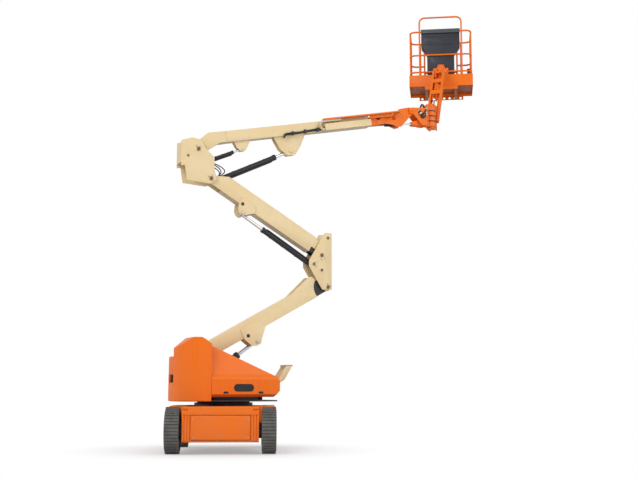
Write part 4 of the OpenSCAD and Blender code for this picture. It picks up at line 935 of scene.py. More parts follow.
@dataclass
class Moulding:
    """A moulded cover on one side of the boom plane, open on the faces that its place hides."""

    side: Side

    def axes(self) -> Axes:
        """Returns upright axes whose side vector points out of this cover."""
        return Axes(np.zeros(3), RIG.forward, RIG.across * self.side.value, UP)

    def is_hidden(self, face: Face) -> bool:
        """Tells whether a face is left open."""
        raise NotImplementedError

    def is_outer(self, edge: Edge) -> bool:
        """Tells whether an edge lies between two outer faces at a clear angle."""
        return not any(self.is_hidden(face) for face in edge.link_faces) and edge.calc_face_angle(0.0) > 0.35


@dataclass
class TailShell(Moulding):
    """Moulded cover of one rear corner, from the deck to the top, around the counterweight."""

    radius: float = 0.928
    half: float = 0.752
    slot: float = 0.130
    front: float = -0.4515
    low: float = 0.826
    blank_top: float = 2.2
    wall: float = 0.006
    rounding: float = 0.022
    profile: Sequence[Pair] = ((-0.928, 1.675), (-0.715, 1.853), (-0.600, 1.850), (-0.4515, 1.742))
    far_profile: Sequence[Pair] = ((-0.928, 1.556), (-0.600, 1.575), (-0.4515, 1.742))

    def build(self) -> bpy.types.Object:
        """Makes the shell.

        Returns:
            The new object.
        """
        turns = np.linspace(math.asin(self.slot / self.radius), math.asin(self.half / self.radius), 24)
        plan = [(self.front, self.slot)] + [(-self.radius * math.cos(t), self.radius * math.sin(t)) for t in turns]
        plan.append((self.front, self.half))
        shape = extruded([((x, y, self.low), (x, y, self.blank_top)) for x, y in plan])
        profile = self.profile if self.side is Side.NEAR else self.far_profile
        for start, end in zip(profile, profile[1:]):
            slice_off(shape, (start[0], 0.0, start[1]), (start[1] - end[1], 0.0, end[0] - start[0]))
        round_edges(shape, self.rounding, 5, self.is_outer)
        drop_faces(shape, self.is_hidden)
        pile = MeshPile(f"tail_shell_{self.side.name.lower()}")
        pile.shell(*taken(shape, self.axes()))
        obj = pile.finish(Slot.SHELL, "turntable")
        thicken(obj, self.wall)
        return obj

    def is_hidden(self, face: Face) -> bool:
        """Tells whether a face lies on the lower or the front side."""
        middle = face.calc_center_median()
        return middle.z < self.low + 1e-4 or middle.x > self.front - 1e-4


@dataclass
class SideHood(Moulding):
    """Moulded cover over one side of the turntable, rounded along its top, nose and sill."""

    node: str
    body: str
    plate: bool = False
    inner: float = 0.235
    half: float = 0.750
    low: float = 0.885
    top: float = 1.735
    crease: float = 1.195
    lean: float = 0.170
    sill: float = 0.0442
    blank_half: float = 2.0
    wall: float = 0.009
    rounding: float = 0.042
    crease_rounding: float = 0.026
    profile: Sequence[Pair] = (
        (-0.446, 0.885), (0.636, 0.885), (0.730, 0.987), (0.730, 1.1485), (0.6888, 1.2148), (-0.446, 1.735),
    )
    latches: Sequence[Pair] = ((-0.205, 0.957), (0.396, 0.957))
    latch_size: Triple = (0.085, 0.034, 0.016)
    handle_size: Triple = (0.052, 0.016, 0.007)
    hinges: Sequence[float] = (0.144, 0.552, 0.960)
    hinge_radius: float = 0.0115
    hinge_half: float = 0.045
    plate_at: Pair = (0.102, 1.034)
    plate_size: Pair = (0.344, 0.122)

    def build(self) -> None:
        """Makes the shell in place of the plain node, and what is fixed to its outer face."""
        shell = MeshPile(f"{self.node}_shell")
        shell.shell(*self.skin())
        obj = shell.finish(Slot.SHELL, self.body)
        thicken(obj, self.wall)
        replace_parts(obj, self.node)
        self.fittings()

    def skin(self) -> tuple[Array, list[list[int]]]:
        """Cuts the section's prism by the side profile, rounds the outer edges and opens the hidden faces.

        Returns:
            Points in the row's space, and faces.
        """
        section = ((self.inner, self.low), (self.half - self.sill, self.low), (self.half, self.low + self.sill),
                   (self.half, self.crease), (self.half - self.sill, self.crease + self.sill),
                   (self.half - self.lean, self.top), (self.inner, self.top))
        shape = extruded([((-self.blank_half, y, z), (self.blank_half, y, z)) for y, z in section])
        for start, end in zip(self.profile, self.profile[1:] + self.profile[:1]):
            slice_off(shape, (start[0], 0.0, start[1]), (end[1] - start[1], 0.0, start[0] - end[0]))
        round_edges(shape, self.crease_rounding, 5, self.is_crease)
        round_edges(shape, self.rounding, 6, self.is_outer)
        drop_faces(shape, self.is_hidden)
        return taken(shape, self.axes())

    def is_hidden(self, face: Face) -> bool:
        """Tells whether a face lies on the inner, back or lower side."""
        middle = face.calc_center_median()
        flat = 1e-4
        return middle.y < self.inner + flat or middle.x < self.profile[0][0] + flat or middle.z < self.low + flat

    def is_crease(self, edge: Edge) -> bool:
        """Tells whether an edge runs along the crease of the flank."""
        levels = [vert.co.z for vert in edge.verts]
        within = all(self.crease - 0.01 < level < self.crease + self.sill + 0.01 for level in levels)
        return within and abs(levels[0] - levels[1]) < 0.005 and abs(edge.verts[0].co.x - edge.verts[1].co.x) > 0.2

    def fittings(self) -> None:
        """Adds the latches, the hinge knuckles and the blank plate."""
        face = self.axes().shifted(side=self.half).facing_out()
        latches = MeshPile(f"{self.node}_latches")
        for along, height in self.latches:
            spot = face.shifted(along, height * face.side_sign())
            latches.prism(spot, rounded_outline(*self.latch_size), -0.002, 0.004, 0.0015)
            latches.prism(spot.shifted(side=0.003), rounded_outline(*self.handle_size), 0.003, 0.011, 0.003)
        latches.finish(PLATE_BLACK, self.body)
        hinges = MeshPile(f"{self.node}_hinges")
        slope = unit(np.array((self.profile[4][0] - self.profile[5][0], self.profile[4][1] - self.profile[5][1])))
        frame_axes = self.axes()
        way = frame_axes.along * slope[0] + UP * slope[1]
        wide, half = self.hinge_radius, self.hinge_half
        for run in self.hinges:
            start = np.array(self.profile[5]) + slope * run
            origin = frame_axes.place((start[0], self.inner, start[1]))
            turned = Axes(origin, frame_axes.side, np.cross(way, frame_axes.side), way)
            hinges.lathe(turned, ((0.004, -half), (wide, -half), (wide, half), (0.004, half)), 20)
        hinges.finish(Slot.DARK, self.body)
        if self.plate:
            badge = MeshPile(f"{self.node}_plate")
            spot = face.shifted(self.plate_at[0], self.plate_at[1] * face.side_sign())
            badge.prism(spot, rounded_outline(*self.plate_size, self.plate_size[1] / 2.0 - 0.001, 14), -0.002, 0.004,
                        0.0012)
            badge.finish(PLATE_BLACK, self.body)


@dataclass
class TailDress:
    """Moulded rear corners, louvre in the counterweight's pocket and pad on the boom rest."""

    pocket_half: float = 0.168
    pocket_z: Pair = (1.122, 1.246)
    pocket_s: Pair = (-0.896, -0.845)
    slats: int = 5
    pad_s: Pair = (1.076, 1.196)
    pad_half: float = 0.146
    pad_z: float = 1.416
    pad_thick: float = 0.010

    def build(self) -> None:
        """Makes the moulded corners in place of the plain caps, the slats and the pad."""
        for side in Side:
            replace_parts(TailShell(side).build(), "tail_covers")
        axes = RIG.plane(np.zeros(3))
        slats = MeshPile("tail_louvre")
        levels = np.linspace(self.pocket_z[0] + 0.016, self.pocket_z[1] - 0.012, self.slats)
        deep = self.pocket_s[1] - self.pocket_s[0]
        blade = np.array(((0.0, -0.010), (deep, 0.006), (deep, 0.009), (0.0, -0.007)))
        for level in levels:
            spot = Axes(axes.place((self.pocket_s[0], -self.pocket_half, level)), axes.along, UP, -axes.side)
            slats.prism(spot, blade, -2.0 * self.pocket_half, 0.0)
        slats.finish(Slot.DARK, "turntable", smooth=False)
        pad = MeshPile("rest_pad")
        outline = rounded_outline(self.pad_s[1] - self.pad_s[0], 2.0 * self.pad_half, 0.012)
        pad.prism(axes.shifted(sum(self.pad_s) / 2.0, 0.0, self.pad_z), outline, 0.0, self.pad_thick, 0.003)
        pad.finish(HOSE, "turntable")


@dataclass
class ChassisDress:
    """Bolts of the end cover and the drive hubs, and service hoses on the deck."""

    face_y: float = -1.282
    bolt_rows: Sequence[Pair] = ((-0.43, 0.262), (0.43, 0.262), (-0.43, 0.545), (0.43, 0.545))
    bolt_size: float = 0.011
    hub_at: Triple = (0.6, -1.0, 0.3675)
    hub_reach: float = 0.085
    hub_circle: float = 0.1
    hub_bolts: int = 8
    hub_bolt_size: float = 0.009
    deck_z: float = 0.740
    hose_radius: float = 0.013
    hose_ends: Sequence[Pair] = ((-0.545, -1.02), (-0.27, -0.43))
    hose_rows: Sequence[Pair] = ((0.0, 0.10), (0.045, 0.06), (0.09, 0.13))

    def build(self) -> None:
        """Makes the bolts and hoses."""
        face = Axes(np.array((0.0, self.face_y, 0.0)), np.array((1.0, 0.0, 0.0)), UP, np.array((0.0, -1.0, 0.0)))
        bolts = MeshPile("chassis_bolts")
        bolts.scatter([face.shifted(x, z) for x, z in self.bolt_rows], bolt_rings(self.bolt_size))
        for hand in (-1.0, 1.0):
            spot = np.array(self.hub_at) * (hand, 1.0, 1.0)
            hub = Axes(spot, np.array((0.0, 1.0, 0.0)), UP, np.array((hand, 0.0, 0.0)))
            bolts.scatter(hub.circle(self.hub_circle, self.hub_bolts, self.hub_reach), bolt_rings(self.hub_bolt_size))
        bolts.finish(ZINC, "chassis", smooth=False)
        hoses = MeshPile("deck_hoses")
        lift = self.deck_z + self.hose_radius
        (start_x, start_y), (end_x, end_y) = self.hose_ends
        for shift, bow in self.hose_rows:
            start = np.array((start_x + shift, start_y + 0.3 * shift, lift))
            end = np.array((end_x + shift, end_y, lift))
            path = arc_path(start, end, np.array((bow, -0.5 * bow, 0.0)), 32)
            path = np.concatenate(([start - (0.0, 0.0, 0.03)], path, [end + (0.02, 0.03, 0.0)]))
            hoses.pipe(path, self.hose_radius, np.array((0.3, 1.0, 0.2)))
        hoses.finish(HOSE, "chassis")


@dataclass
class BoomLines:
    """Hose bundle on the main boom's near side, from its lug to the cable tray, with clamps, and pad bolts."""

    start: Pair = (1.63, 0.100)
    end: Pair = (2.46, 0.132)
    wall_half: float = 0.085
    hose_radius: float = 0.0105
    hoses: int = 4
    wave: float = 0.004
    tuck_share: float = 0.06
    tuck_drop: float = 0.05
    clamps: Sequence[float] = (0.22, 0.52, 0.82)
    clamp_size: Triple = (0.036, 0.074, 0.008)
    clamp_depth: float = 0.044
    pad_bolt_size: float = 0.009
    pad_bolts: Sequence[Pair] = ((3.30, 0.235), (3.35, 0.235), (3.30, 0.255), (3.35, 0.255))

    def build(self) -> None:
        """Makes the bundle, its clamps and the bolts of the wear pads."""
        axes = RIG.main()
        bundle = MeshPile("boom_hoses")
        share = np.linspace(0.0, 1.0, 40)
        tuck = np.clip((self.tuck_share - share) / self.tuck_share, 0.0, 1.0) ** 2
        for row in range(self.hoses):
            reach = self.wall_half + self.hose_radius * (1.05 + 1.7 * (row % 2))
            drop = self.hose_radius * 1.9 * (row // 2)
            along = self.start[0] + (self.end[0] - self.start[0]) * share
            height = self.start[1] + (self.end[1] - self.start[1]) * share - drop
            height = height + self.wave * np.sin(share * 9.0 + row) - tuck * self.tuck_drop
            side = -np.full_like(share, reach)
            bundle.pipe(axes.place(np.column_stack((along, side, height))), self.hose_radius, axes.up + 0.2 * axes.side)
        bundle.finish(HOSE, "main")
        clamps = MeshPile("boom_hose_clamps")
        for spot in self.clamps:
            along = self.start[0] + (self.end[0] - self.start[0]) * spot
            height = self.start[1] + (self.end[1] - self.start[1]) * spot - self.hose_radius * 0.9
            local = Axes(axes.place((along, -self.wall_half, height)), axes.along, axes.up, -axes.side)
            clamps.prism(local, rounded_outline(*self.clamp_size), -0.001, self.clamp_depth, 0.004)
        clamps.finish(Slot.DARK, "main")
        bolts = MeshPile("boom_pad_bolts")
        spots = []
        for side in Side:
            face = axes.facing(side)
            spots += [face.shifted(x, -side.value * z, self.wall_half) for x, z in self.pad_bolts]
        bolts.scatter(spots, bolt_rings(self.pad_bolt_size))
        bolts.finish(ZINC, "main", smooth=False)


@dataclass
class ActuatorDress:
    """Bands and port lines of the jib's swing actuator, and the pin caps of the yoke and the jib head."""

    radius: float = 0.090
    drop: float = 0.168
    band_levels: Sequence[float] = (0.11, 0.21, 0.31)
    band_rise: float = 0.004
    band_depth: float = 0.008
    port_levels: Sequence[float] = (0.10, 0.32)
    line_radius: float = 0.009
    pins: Sequence[tuple[str, str]] = (("jib_lift", "yoke"), ("head_level", "jib_head"))
    pin_reach: float = 0.1308
    pin_profile: Sequence[Pair] = (
        (0.0235, -0.004), (0.0235, 0.002), (0.020, 0.005), (0.006, 0.005), (0.004, 0.003),
    )

    def build(self) -> None:
        """Makes the actuator's bands and port lines, and the pin caps."""
        axes = RIG.plane(RIG.pin("jib_swing") - UP * self.drop)
        bands = MeshPile("actuator_bands")
        high = self.radius + self.band_rise
        low = high - self.band_depth
        for level in self.band_levels:
            bands.hoop(axes.shifted(up=level), ((low, -0.012), (high, -0.009), (high, 0.009), (low, 0.012)), 40)
        bands.finish(Slot.DARK, "bracket")
        lines = MeshPile("actuator_lines")
        share = np.linspace(0.0, 1.0, 20)[:, None]
        for side in Side:
            for level in self.port_levels:
                port = axes.place((-0.075, side.value * 0.030, level))
                turn = axes.place((-0.10, side.value * 0.050, level + 0.03))
                back = axes.place((-0.165, side.value * 0.060, level + 0.03))
                path = port * (1 - share) ** 2 + 2.0 * turn * share * (1 - share) + back * share**2
                lines.pipe(path, self.line_radius, UP)
        lines.finish(HOSE, "bracket")
        for joint, body in self.pins:
            caps = MeshPile(f"{body}_pin_caps")
            for side in Side:
                out = RIG.jib_across * side.value
                spot = Axes(RIG.pin(joint) + out * self.pin_reach, UP, np.cross(out, UP), out)
                caps.lathe(spot, self.pin_profile, 28)
            caps.finish(ZINC, body)


@dataclass
class JibLines:
    """Two hoses clipped along the inside of a jib bar."""

    side: float = 0.075
    radius: float = 0.0065
    span: Pair = (0.38, 1.14)
    levels: Pair = (-0.012, -0.030)
    wave: float = 0.002
    clips: Sequence[float] = (0.4216, 0.6448, 0.8804, 1.116)
    clip_at: Pair = (0.0845, -0.021)
    clip_size: Triple = (0.022, 0.044, 0.006)
    clip_depth: float = 0.0175

    def build(self) -> None:
        """Makes the hoses and their clips."""
        axes = RIG.jib()
        hoses = MeshPile("jib_hoses")
        share = np.linspace(0.0, 1.0, 40)
        along = self.span[0] + (self.span[1] - self.span[0]) * share
        for level in self.levels:
            height = level + self.wave * np.sin(share * 14.0)
            path = axes.place(np.column_stack((along, np.full_like(share, self.side), height)))
            hoses.pipe(path, self.radius, axes.up)
        hoses.finish(HOSE, "jib")
        clips = MeshPile("jib_hose_clips")
        for run in self.clips:
            local = Axes(axes.place((run, *self.clip_at)), axes.along, axes.up, -axes.side)
            clips.prism(local, rounded_outline(*self.clip_size), -0.001, self.clip_depth, 0.002)
        clips.finish(Slot.DARK, "jib")


def rounded_block(axes: Axes, outline: Sequence[Sequence[float]], low: float, high: float, width: float,
                  segments: int = 4) -> tuple[Array, list[list[int]]]:
    """Extrudes an outline along the up vector and rounds all its edges.

    Args:
        axes: the outline lies along and side.
        outline: points in turn.
        low: start of the extrusion.
        high: end of the extrusion.
        width: width of the rounding.
        segments: facets across it.

    Returns:
        Points in the row's space, and faces.
    """
    shape = extruded([((x, y, low), (x, y, high)) for x, y in outline])
    round_edges(shape, width, segments, lambda edge: True)
    return taken(shape, axes)


@dataclass
class Console:
    """Control console: a rounded housing with a raised back panel, a lid and its controls, and a holder tube."""

    near_x: float = 0.2673
    depth: float = 0.170
    foot_half: float = 0.275
    head_half: float = 0.390
    low: float = 0.1902
    waist: Pair = (0.616, 0.770)
    top: float = 1.1102
    rounding: float = 0.022
    lid_reach: float = 0.042
    lid_drop: float = 0.045
    lid_rise: float = 0.048
    holder_at: Pair = (0.8900, -0.5705)
    holder_radius: float = 0.0272
    holder_z: Pair = (0.248, 0.486)
    panel_rows: Sequence[Triple] = ((0.44, 0.27, 0.435), (0.64, 0.15, 0.90), (0.70, 0.05, 1.035))
    face_size: Triple = (0.12, 0.68, 0.012)
    lever_sides: Pair = (-0.24, 0.24)
    lever_grip: Sequence[Pair] = (
        (0.008, 0.03), (0.008, 0.042), (0.014, 0.047), (0.018, 0.060), (0.015, 0.074), (0.004, 0.078),
    )
    toggles: int = 7
    toggle_step: float = 0.04
    toggle_profile: Sequence[Pair] = (
        (0.007, 0.003), (0.007, 0.008), (0.003, 0.010), (0.0036, 0.026), (0.001, 0.028),
    )
    stop_at: Pair = (0.035, -0.02)
    stop_profile: Sequence[Pair] = (
        (0.012, 0.003), (0.012, 0.015), (0.022, 0.018), (0.023, 0.028), (0.018, 0.033), (0.002, 0.034),
    )

    def build(self) -> None:
        """Makes the housing in place of the plain node, its panels and its controls."""
        axes = RIG.platform()
        upright = Axes(axes.place((self.near_x, 0.0, 0.0)), axes.side, UP, axes.along)
        outline = [(-self.foot_half, self.low), (self.foot_half, self.low), (self.foot_half, self.waist[0]),
                   (self.head_half, self.waist[1]), (self.head_half, self.top), (-self.head_half, self.top),
                   (-self.head_half, self.waist[1]), (-self.foot_half, self.waist[0])]
        housing = MeshPile("console_housing")
        housing.shell(*rounded_block(upright, outline, 0.0, self.depth, self.rounding))
        hold = axes.shifted(*self.holder_at)
        rim = self.holder_radius
        housing.lathe(hold, ((rim - 0.004, self.holder_z[0]), (rim, self.holder_z[0] + 0.004),
                             (rim, self.holder_z[1] - 0.02), (rim + 0.003, self.holder_z[1] - 0.018),
                             (rim + 0.003, self.holder_z[1]), (rim - 0.006, self.holder_z[1])), 28)
        obj = housing.finish(Slot.PLASTIC, "platform")
        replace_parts(obj, "control_console")
        self.panels(upright)
        self.controls(axes)

    def panels(self, upright: Axes) -> None:
        """Adds the raised panels of the near face and the lid's edge.

        Args:
            upright: axes on the near face, along the platform's side, up and away.
        """
        panels = MeshPile("console_panels")
        for width, height, level in self.panel_rows:
            spot = upright.shifted(side=level)
            panels.shell(*rounded_block(spot, rounded_outline(width, height, 0.02), -0.005, 0.004, 0.003, 2))
        panels.finish(Slot.PLASTIC, "platform")
        lid = MeshPile("console_lid")
        reach, drop, rise = self.lid_reach, self.lid_drop, self.lid_rise
        outline = [(-reach, self.top - drop), (-reach, self.top + 0.4 * rise), (-0.3 * reach, self.top + rise),
                   (0.028, self.top + rise), (0.028, self.top - 0.002), (0.012, self.top - drop)]
        across = Axes(upright.origin, upright.up, upright.side, -upright.along)
        half = self.head_half + 0.006
        lid.shell(*rounded_block(across, outline, -half, half, 0.007, 3))
        lid.finish(LID_GREY, "platform", Slot.PLASTIC)

    def controls(self, axes: Axes) -> None:
        """Adds two hand levers, toggles and a stop button on the top of the console.

        Args:
            axes: the platform's axes.
        """
        deck = axes.shifted(self.near_x + self.depth / 2.0, 0.0, self.top - 0.001)
        plate = MeshPile("console_face")
        plate.shell(*rounded_block(deck, rounded_outline(*self.face_size), 0.0, 0.004, 0.0015, 2))
        plate.finish(PLATE_BLACK, "platform")
        levers = MeshPile("console_levers")
        shares = np.linspace(0.0, 1.0, 14)
        boot = [(0.034 - 0.020 * t + 0.004 * math.sin(9.0 * t), 0.004 + 0.022 * t) for t in shares]
        for side in self.lever_sides:
            levers.lathe(deck.shifted(0.0, side), [*boot, *self.lever_grip], 20)
        for number in range(self.toggles):
            spot = deck.shifted(-0.02, self.toggle_step * (number - (self.toggles - 1) / 2.0))
            levers.lathe(spot, self.toggle_profile, 12)
        levers.finish(PLATE_BLACK, "platform")
        stop = MeshPile("console_stop")
        stop.lathe(deck.shifted(*self.stop_at), self.stop_profile, 24)
        stop.finish(LAMP_RED, "platform")


@dataclass
class PlatformDress:
    """Tread on the floor, foot switch, post brackets and bolts of the rotator's clamps."""

    near_x: float = 0.225
    depth: float = 0.800
    half: float = 0.640
    tread_step: float = 0.042
    tread_size: Triple = (0.026, 0.008, 0.0018)
    posts: Sequence[Pair] = (
        (0.36, -0.615), (0.36, 0.615), (0.89, -0.615), (0.89, 0.615), (1.0, -0.425), (1.0, 0.425),
        (1.0, -0.34), (1.0, 0.34), (0.25, -0.425), (0.25, 0.425),
    )
    side_half: float = 0.615
    middle: float = 0.625
    toe_z: float = 0.180
    foot_size: Triple = (0.07, 0.06, 0.008)
    foot_reach: float = 0.0168
    foot_bolts: Pair = (-0.024, 0.024)
    switch_at: Pair = (0.55, 0.22)
    switch_blocks: Sequence[tuple[float, float, float, float, float, float]] = (
        (-0.09, 0.09, 0.06, 0.001, 0.05, 0.012), (-0.05, 0.07, 0.045, 0.05, 0.062, 0.005),
    )
    clamp_z: float = 0.2939
    clamp_circle: float = 0.045
    clamp_bolts: int = 6

    def build(self) -> None:
        """Makes the tread, the switch, the brackets and the bolts."""
        axes = RIG.platform()
        tread = MeshPile("floor_tread")
        rows = np.arange(self.near_x + 0.03, self.near_x + self.depth - 0.02, self.tread_step)
        columns = np.arange(-self.half + 0.03, self.half - 0.02, self.tread_step)
        long, wide, high = self.tread_size
        lozenge = np.array(((-long / 2, 0.0), (0.0, -wide / 2), (long / 2, 0.0), (0.0, wide / 2)))
        for i, x in enumerate(rows):
            for j, y in enumerate(columns):
                turn = math.radians(45.0 if (i + j) % 2 else -45.0)
                spin = np.array(((math.cos(turn), math.sin(turn)), (-math.sin(turn), math.cos(turn))))
                tread.prism(axes.shifted(x, y), lozenge @ spin, -0.0005, high)
        tread.finish(Slot.ORANGE, "platform", smooth=False)
        switch = MeshPile("foot_switch")
        for back, front, side, low, top, rounding in self.switch_blocks:
            outline = ((back, -side), (front, -side), (front, side), (back, side))
            switch.shell(*rounded_block(axes.shifted(*self.switch_at), outline, low, top, rounding))
        switch.finish(PLATE_BLACK, "platform")
        feet = MeshPile("post_brackets")
        bolts = MeshPile("post_bolts")
        for x, y in self.posts:
            if abs(abs(y) - self.side_half) < 0.01:
                out = -math.copysign(1.0, y) * axes.side
            else:
                out = math.copysign(1.0, self.middle - x) * axes.along
            foot = axes.place((x, y, self.toe_z - 0.05)) + out * self.foot_reach
            spot = Axes(foot, np.cross(UP, out), UP, out)
            feet.prism(spot, rounded_outline(*self.foot_size), -0.004, 0.004, 0.001)
            bolts.scatter([spot.shifted(step, 0.0, 0.004) for step in self.foot_bolts], bolt_rings(0.007))
        feet.finish(Slot.ORANGE, "platform")
        bolts.scatter(axes.circle(self.clamp_circle, self.clamp_bolts, self.clamp_z), bolt_rings(0.008))
        bolts.finish(ZINC, "platform", smooth=False)


@dataclass
class CrossBar:
    """Perforated bar under the floor, across the platform's far end."""

    along: float = 1.013
    half: float = 0.456
    low: float = -0.132
    high: float = -0.0605
    thick: float = 0.010
    hole: float = 0.0245
    count: int = 8
    steps: int = 8

    def square(self, columns: int) -> Array:
        """Returns points round the square from -1 to 1: equal columns on two sides, equal steps on the others."""
        run = np.linspace(-1.0, 1.0, columns, endpoint=False)
        rise = np.linspace(-1.0, 1.0, self.steps, endpoint=False)
        sides = ((run, -np.ones_like(run)), (np.ones_like(rise), rise), (-run, np.ones_like(run)),
                 (-np.ones_like(rise), -rise))
        return np.concatenate([np.column_stack(side) for side in sides])

    def placed(self, loops: Sequence[tuple[Array, float]]) -> Array:
        """Returns upright loops in the row's space, each at its own depth behind the bar's face."""
        axes = RIG.platform()
        return np.stack([
            axes.place(np.column_stack((np.full(len(loop), self.along + depth), loop))) for loop, depth in loops
        ])

    def build(self) -> None:
        """Makes each cell's faces, which run from a square to a circle, its hole's wall, and the bar's rim."""
        bar = MeshPile("platform_crossbar")
        middle = np.array((0.0, (self.low + self.high) / 2.0))
        size = np.array((self.half, (self.high - self.low) / 2.0))
        cell = self.square(self.steps) * size / (self.count, 1.0)
        circle = self.hole * cell / np.linalg.norm(cell, axis=1, keepdims=True)
        for index in range(self.count):
            centre = middle + ((2.0 * index + 1.0) / self.count - 1.0, 0.0) * size
            loops = ((cell, 0.0), (circle, 0.0), (circle, self.thick), (cell, self.thick))
            bar.rings(self.placed([(loop + centre, depth) for loop, depth in loops]), caps=False)
        rim = self.square(self.steps * self.count) * size + middle
        bar.rings(self.placed(((rim, self.thick), (rim, 0.0))), caps=False)
        bar.finish(NODE_FINISHES["platform_floor"], "platform", Slot.ORANGE)


@dataclass
class RootHoses:
    """Hose loops at the root of the main boom, between the feet of its two rams, and on the jib's bracket."""

    radius: float = 0.0095
    side: float = 0.072
    loops: Sequence[Triple] = ((-1.0, 0.15, 0.0), (-1.0, 0.20, 0.02), (1.0, 0.17, 0.0))
    bracket_radius: float = 0.0105
    fitting_radius: float = 0.0145
    cheek: float = 0.109
    swags: Sequence[tuple[Triple, Triple, float]] = (
        ((-0.330, -0.112, 0.100), (-0.175, -0.112, 0.150), -0.12),
        ((-0.310, -0.128, 0.040), (-0.165, -0.128, 0.070), -0.09),
        ((-0.300, -0.124, 0.060), (-0.165, -0.124, 0.155), -0.05),
        ((-0.285, -0.132, 0.055), (-0.170, -0.132, 0.030), -0.06),
        ((-0.320, 0.112, 0.100), (-0.175, 0.112, 0.150), -0.12),
    )
    trough: Sequence[tuple[Triple, Triple, float]] = (
        ((-0.300, -0.042, -0.075), (-0.150, -0.042, 0.100), 0.21),
        ((-0.270, 0.042, -0.065), (-0.150, 0.030, 0.100), 0.20),
        ((-0.320, -0.086, 0.050), (-0.150, -0.076, 0.120), 0.16),
    )
    block_at: Triple = (-0.305, -0.103, 0.075)
    block_size: Triple = (0.056, 0.066, 0.026)

    def build(self) -> None:
        """Makes the loops on the upright, and the loops, fittings and valve block on the bracket."""
        upper = RIG.ram("master_ram", RIG.across)
        lower = RIG.ram("main_ram", RIG.across)
        loops = MeshPile("root_hoses")
        for side, bow, lift in self.loops:
            start = upper.place((lift - 0.03, side * self.side, -0.02))
            end = lower.place((lift + 0.02, side * self.side, 0.045))
            loops.pipe(arc_path(start, end, RIG.forward * bow, 36), self.radius, RIG.across + 0.2 * UP)
        loops.finish(HOSE, "tower_upright")
        axes = RIG.plane(RIG.pin("jib_swing"))
        hoses = MeshPile("bracket_hoses")
        for start, end, bow in (*self.swags, *self.trough):
            path = arc_path(axes.place(start), axes.place(end), UP * bow, 30)
            hoses.pipe(path, self.bracket_radius, RIG.across + 0.2 * UP)
        hoses.finish(HOSE, "bracket")
        fittings = MeshPile("bracket_fittings")
        for spot in [place for swag in self.swags for place in swag[:2]]:
            hand = math.copysign(1.0, spot[1])
            out = RIG.across * hand
            foot = axes.place((spot[0], hand * self.cheek, spot[2]))
            high = abs(spot[1]) - self.cheek + 0.012
            wide = self.fitting_radius
            profile = ((wide, -0.002), (wide, high), (0.011, high + 0.003), (0.002, high + 0.003))
            fittings.lathe(Axes(foot, RIG.forward, np.cross(out, RIG.forward), out), profile, 6)
        fittings.finish(ZINC, "bracket", smooth=False)
        block = MeshPile("bracket_valve_block")
        face = Axes(axes.place(self.block_at), axes.along, axes.up, np.cross(axes.along, axes.up))
        block.prism(face, rounded_outline(*self.block_size[:2], 0.006), 0.0, self.block_size[2], 0.004)
        block.finish(Slot.DARK, "bracket")


@dataclass
class LugPins:
    """Pin heads on the flank plates of the tower booms' ram lugs, and beside each a cable hole drawn as a black disc of
    painted shade.
    """

    flank: float = 0.121
    pin: float = 0.036
    hole: float = 0.024
    lower_pin: Pair = (1.2623, -0.2213)
    upper_pin: Pair = (0.7881, -0.1786)
    hole_shares: Pair = (0.62, 0.75)

    def build(self) -> None:
        """Makes the heads, and each cable hole as a black disc of painted shade, on both flanks of both booms."""
        booms = ((RIG.lower(), self.lower_pin, "lower_tower"), (RIG.upper(), self.upper_pin, "upper_tower"))
        for axes, spot, body in booms:
            heads = MeshPile(f"{body}_lug_pins")
            hole_shade = MeshPile(f"{body}_lug_holes")
            for side in Side:
                face = axes.facing(side)
                up = -side.value
                head = face.shifted(spot[0], up * spot[1], self.flank)
                size = self.pin
                heads.lathe(head, ((size, -0.002), (size, 0.005), (0.86 * size, 0.009), (0.3 * size, 0.009),
                                   (0.26 * size, 0.005), (0.02 * size, 0.005)), 28)
                # Each cable hole is a black disc with a raised rim: painted shade for the hole's inside.
                rise = -spot[1] * self.hole_shares[1]
                dark = face.shifted(spot[0] - self.hole_shares[0] * rise, up * (spot[1] + rise), self.flank)
                size = self.hole
                hole_shade.lathe(dark, ((1.25 * size, -0.002), (1.25 * size, 0.0035), (size, 0.0035), (size, 0.001),
                                   (0.02 * size, 0.001)), 24)
            heads.finish(ZINC, body)
            hole_shade.finish(PLATE_BLACK, body)


@dataclass
class FlyFiller:
    """Folded cover plate between the telescoping boom and its cable rail."""

    span: Pair = (3.405, 3.885)
    levels: Pair = (0.214, 0.276)
    near: float = -0.128
    thick: float = 0.005
    fold: float = 0.022

    def build(self) -> None:
        """Makes the plate as a shallow channel with its two folds."""
        axes = RIG.main()
        low, high = self.levels
        fold = self.fold
        section = np.array(((0.0, low), (fold, low), (fold, low + self.thick), (self.thick, low + self.thick),
                            (self.thick, high - self.thick), (fold, high - self.thick), (fold, high), (0.0, high)))
        pile = MeshPile("fly_filler")
        local = Axes(axes.place((self.span[0], self.near, 0.0)), axes.side, axes.up, axes.along)
        pile.prism(local, section, 0.0, self.span[1] - self.span[0])
        pile.finish(Slot.ORANGE, "fly", bevel=0.001)


# Studio


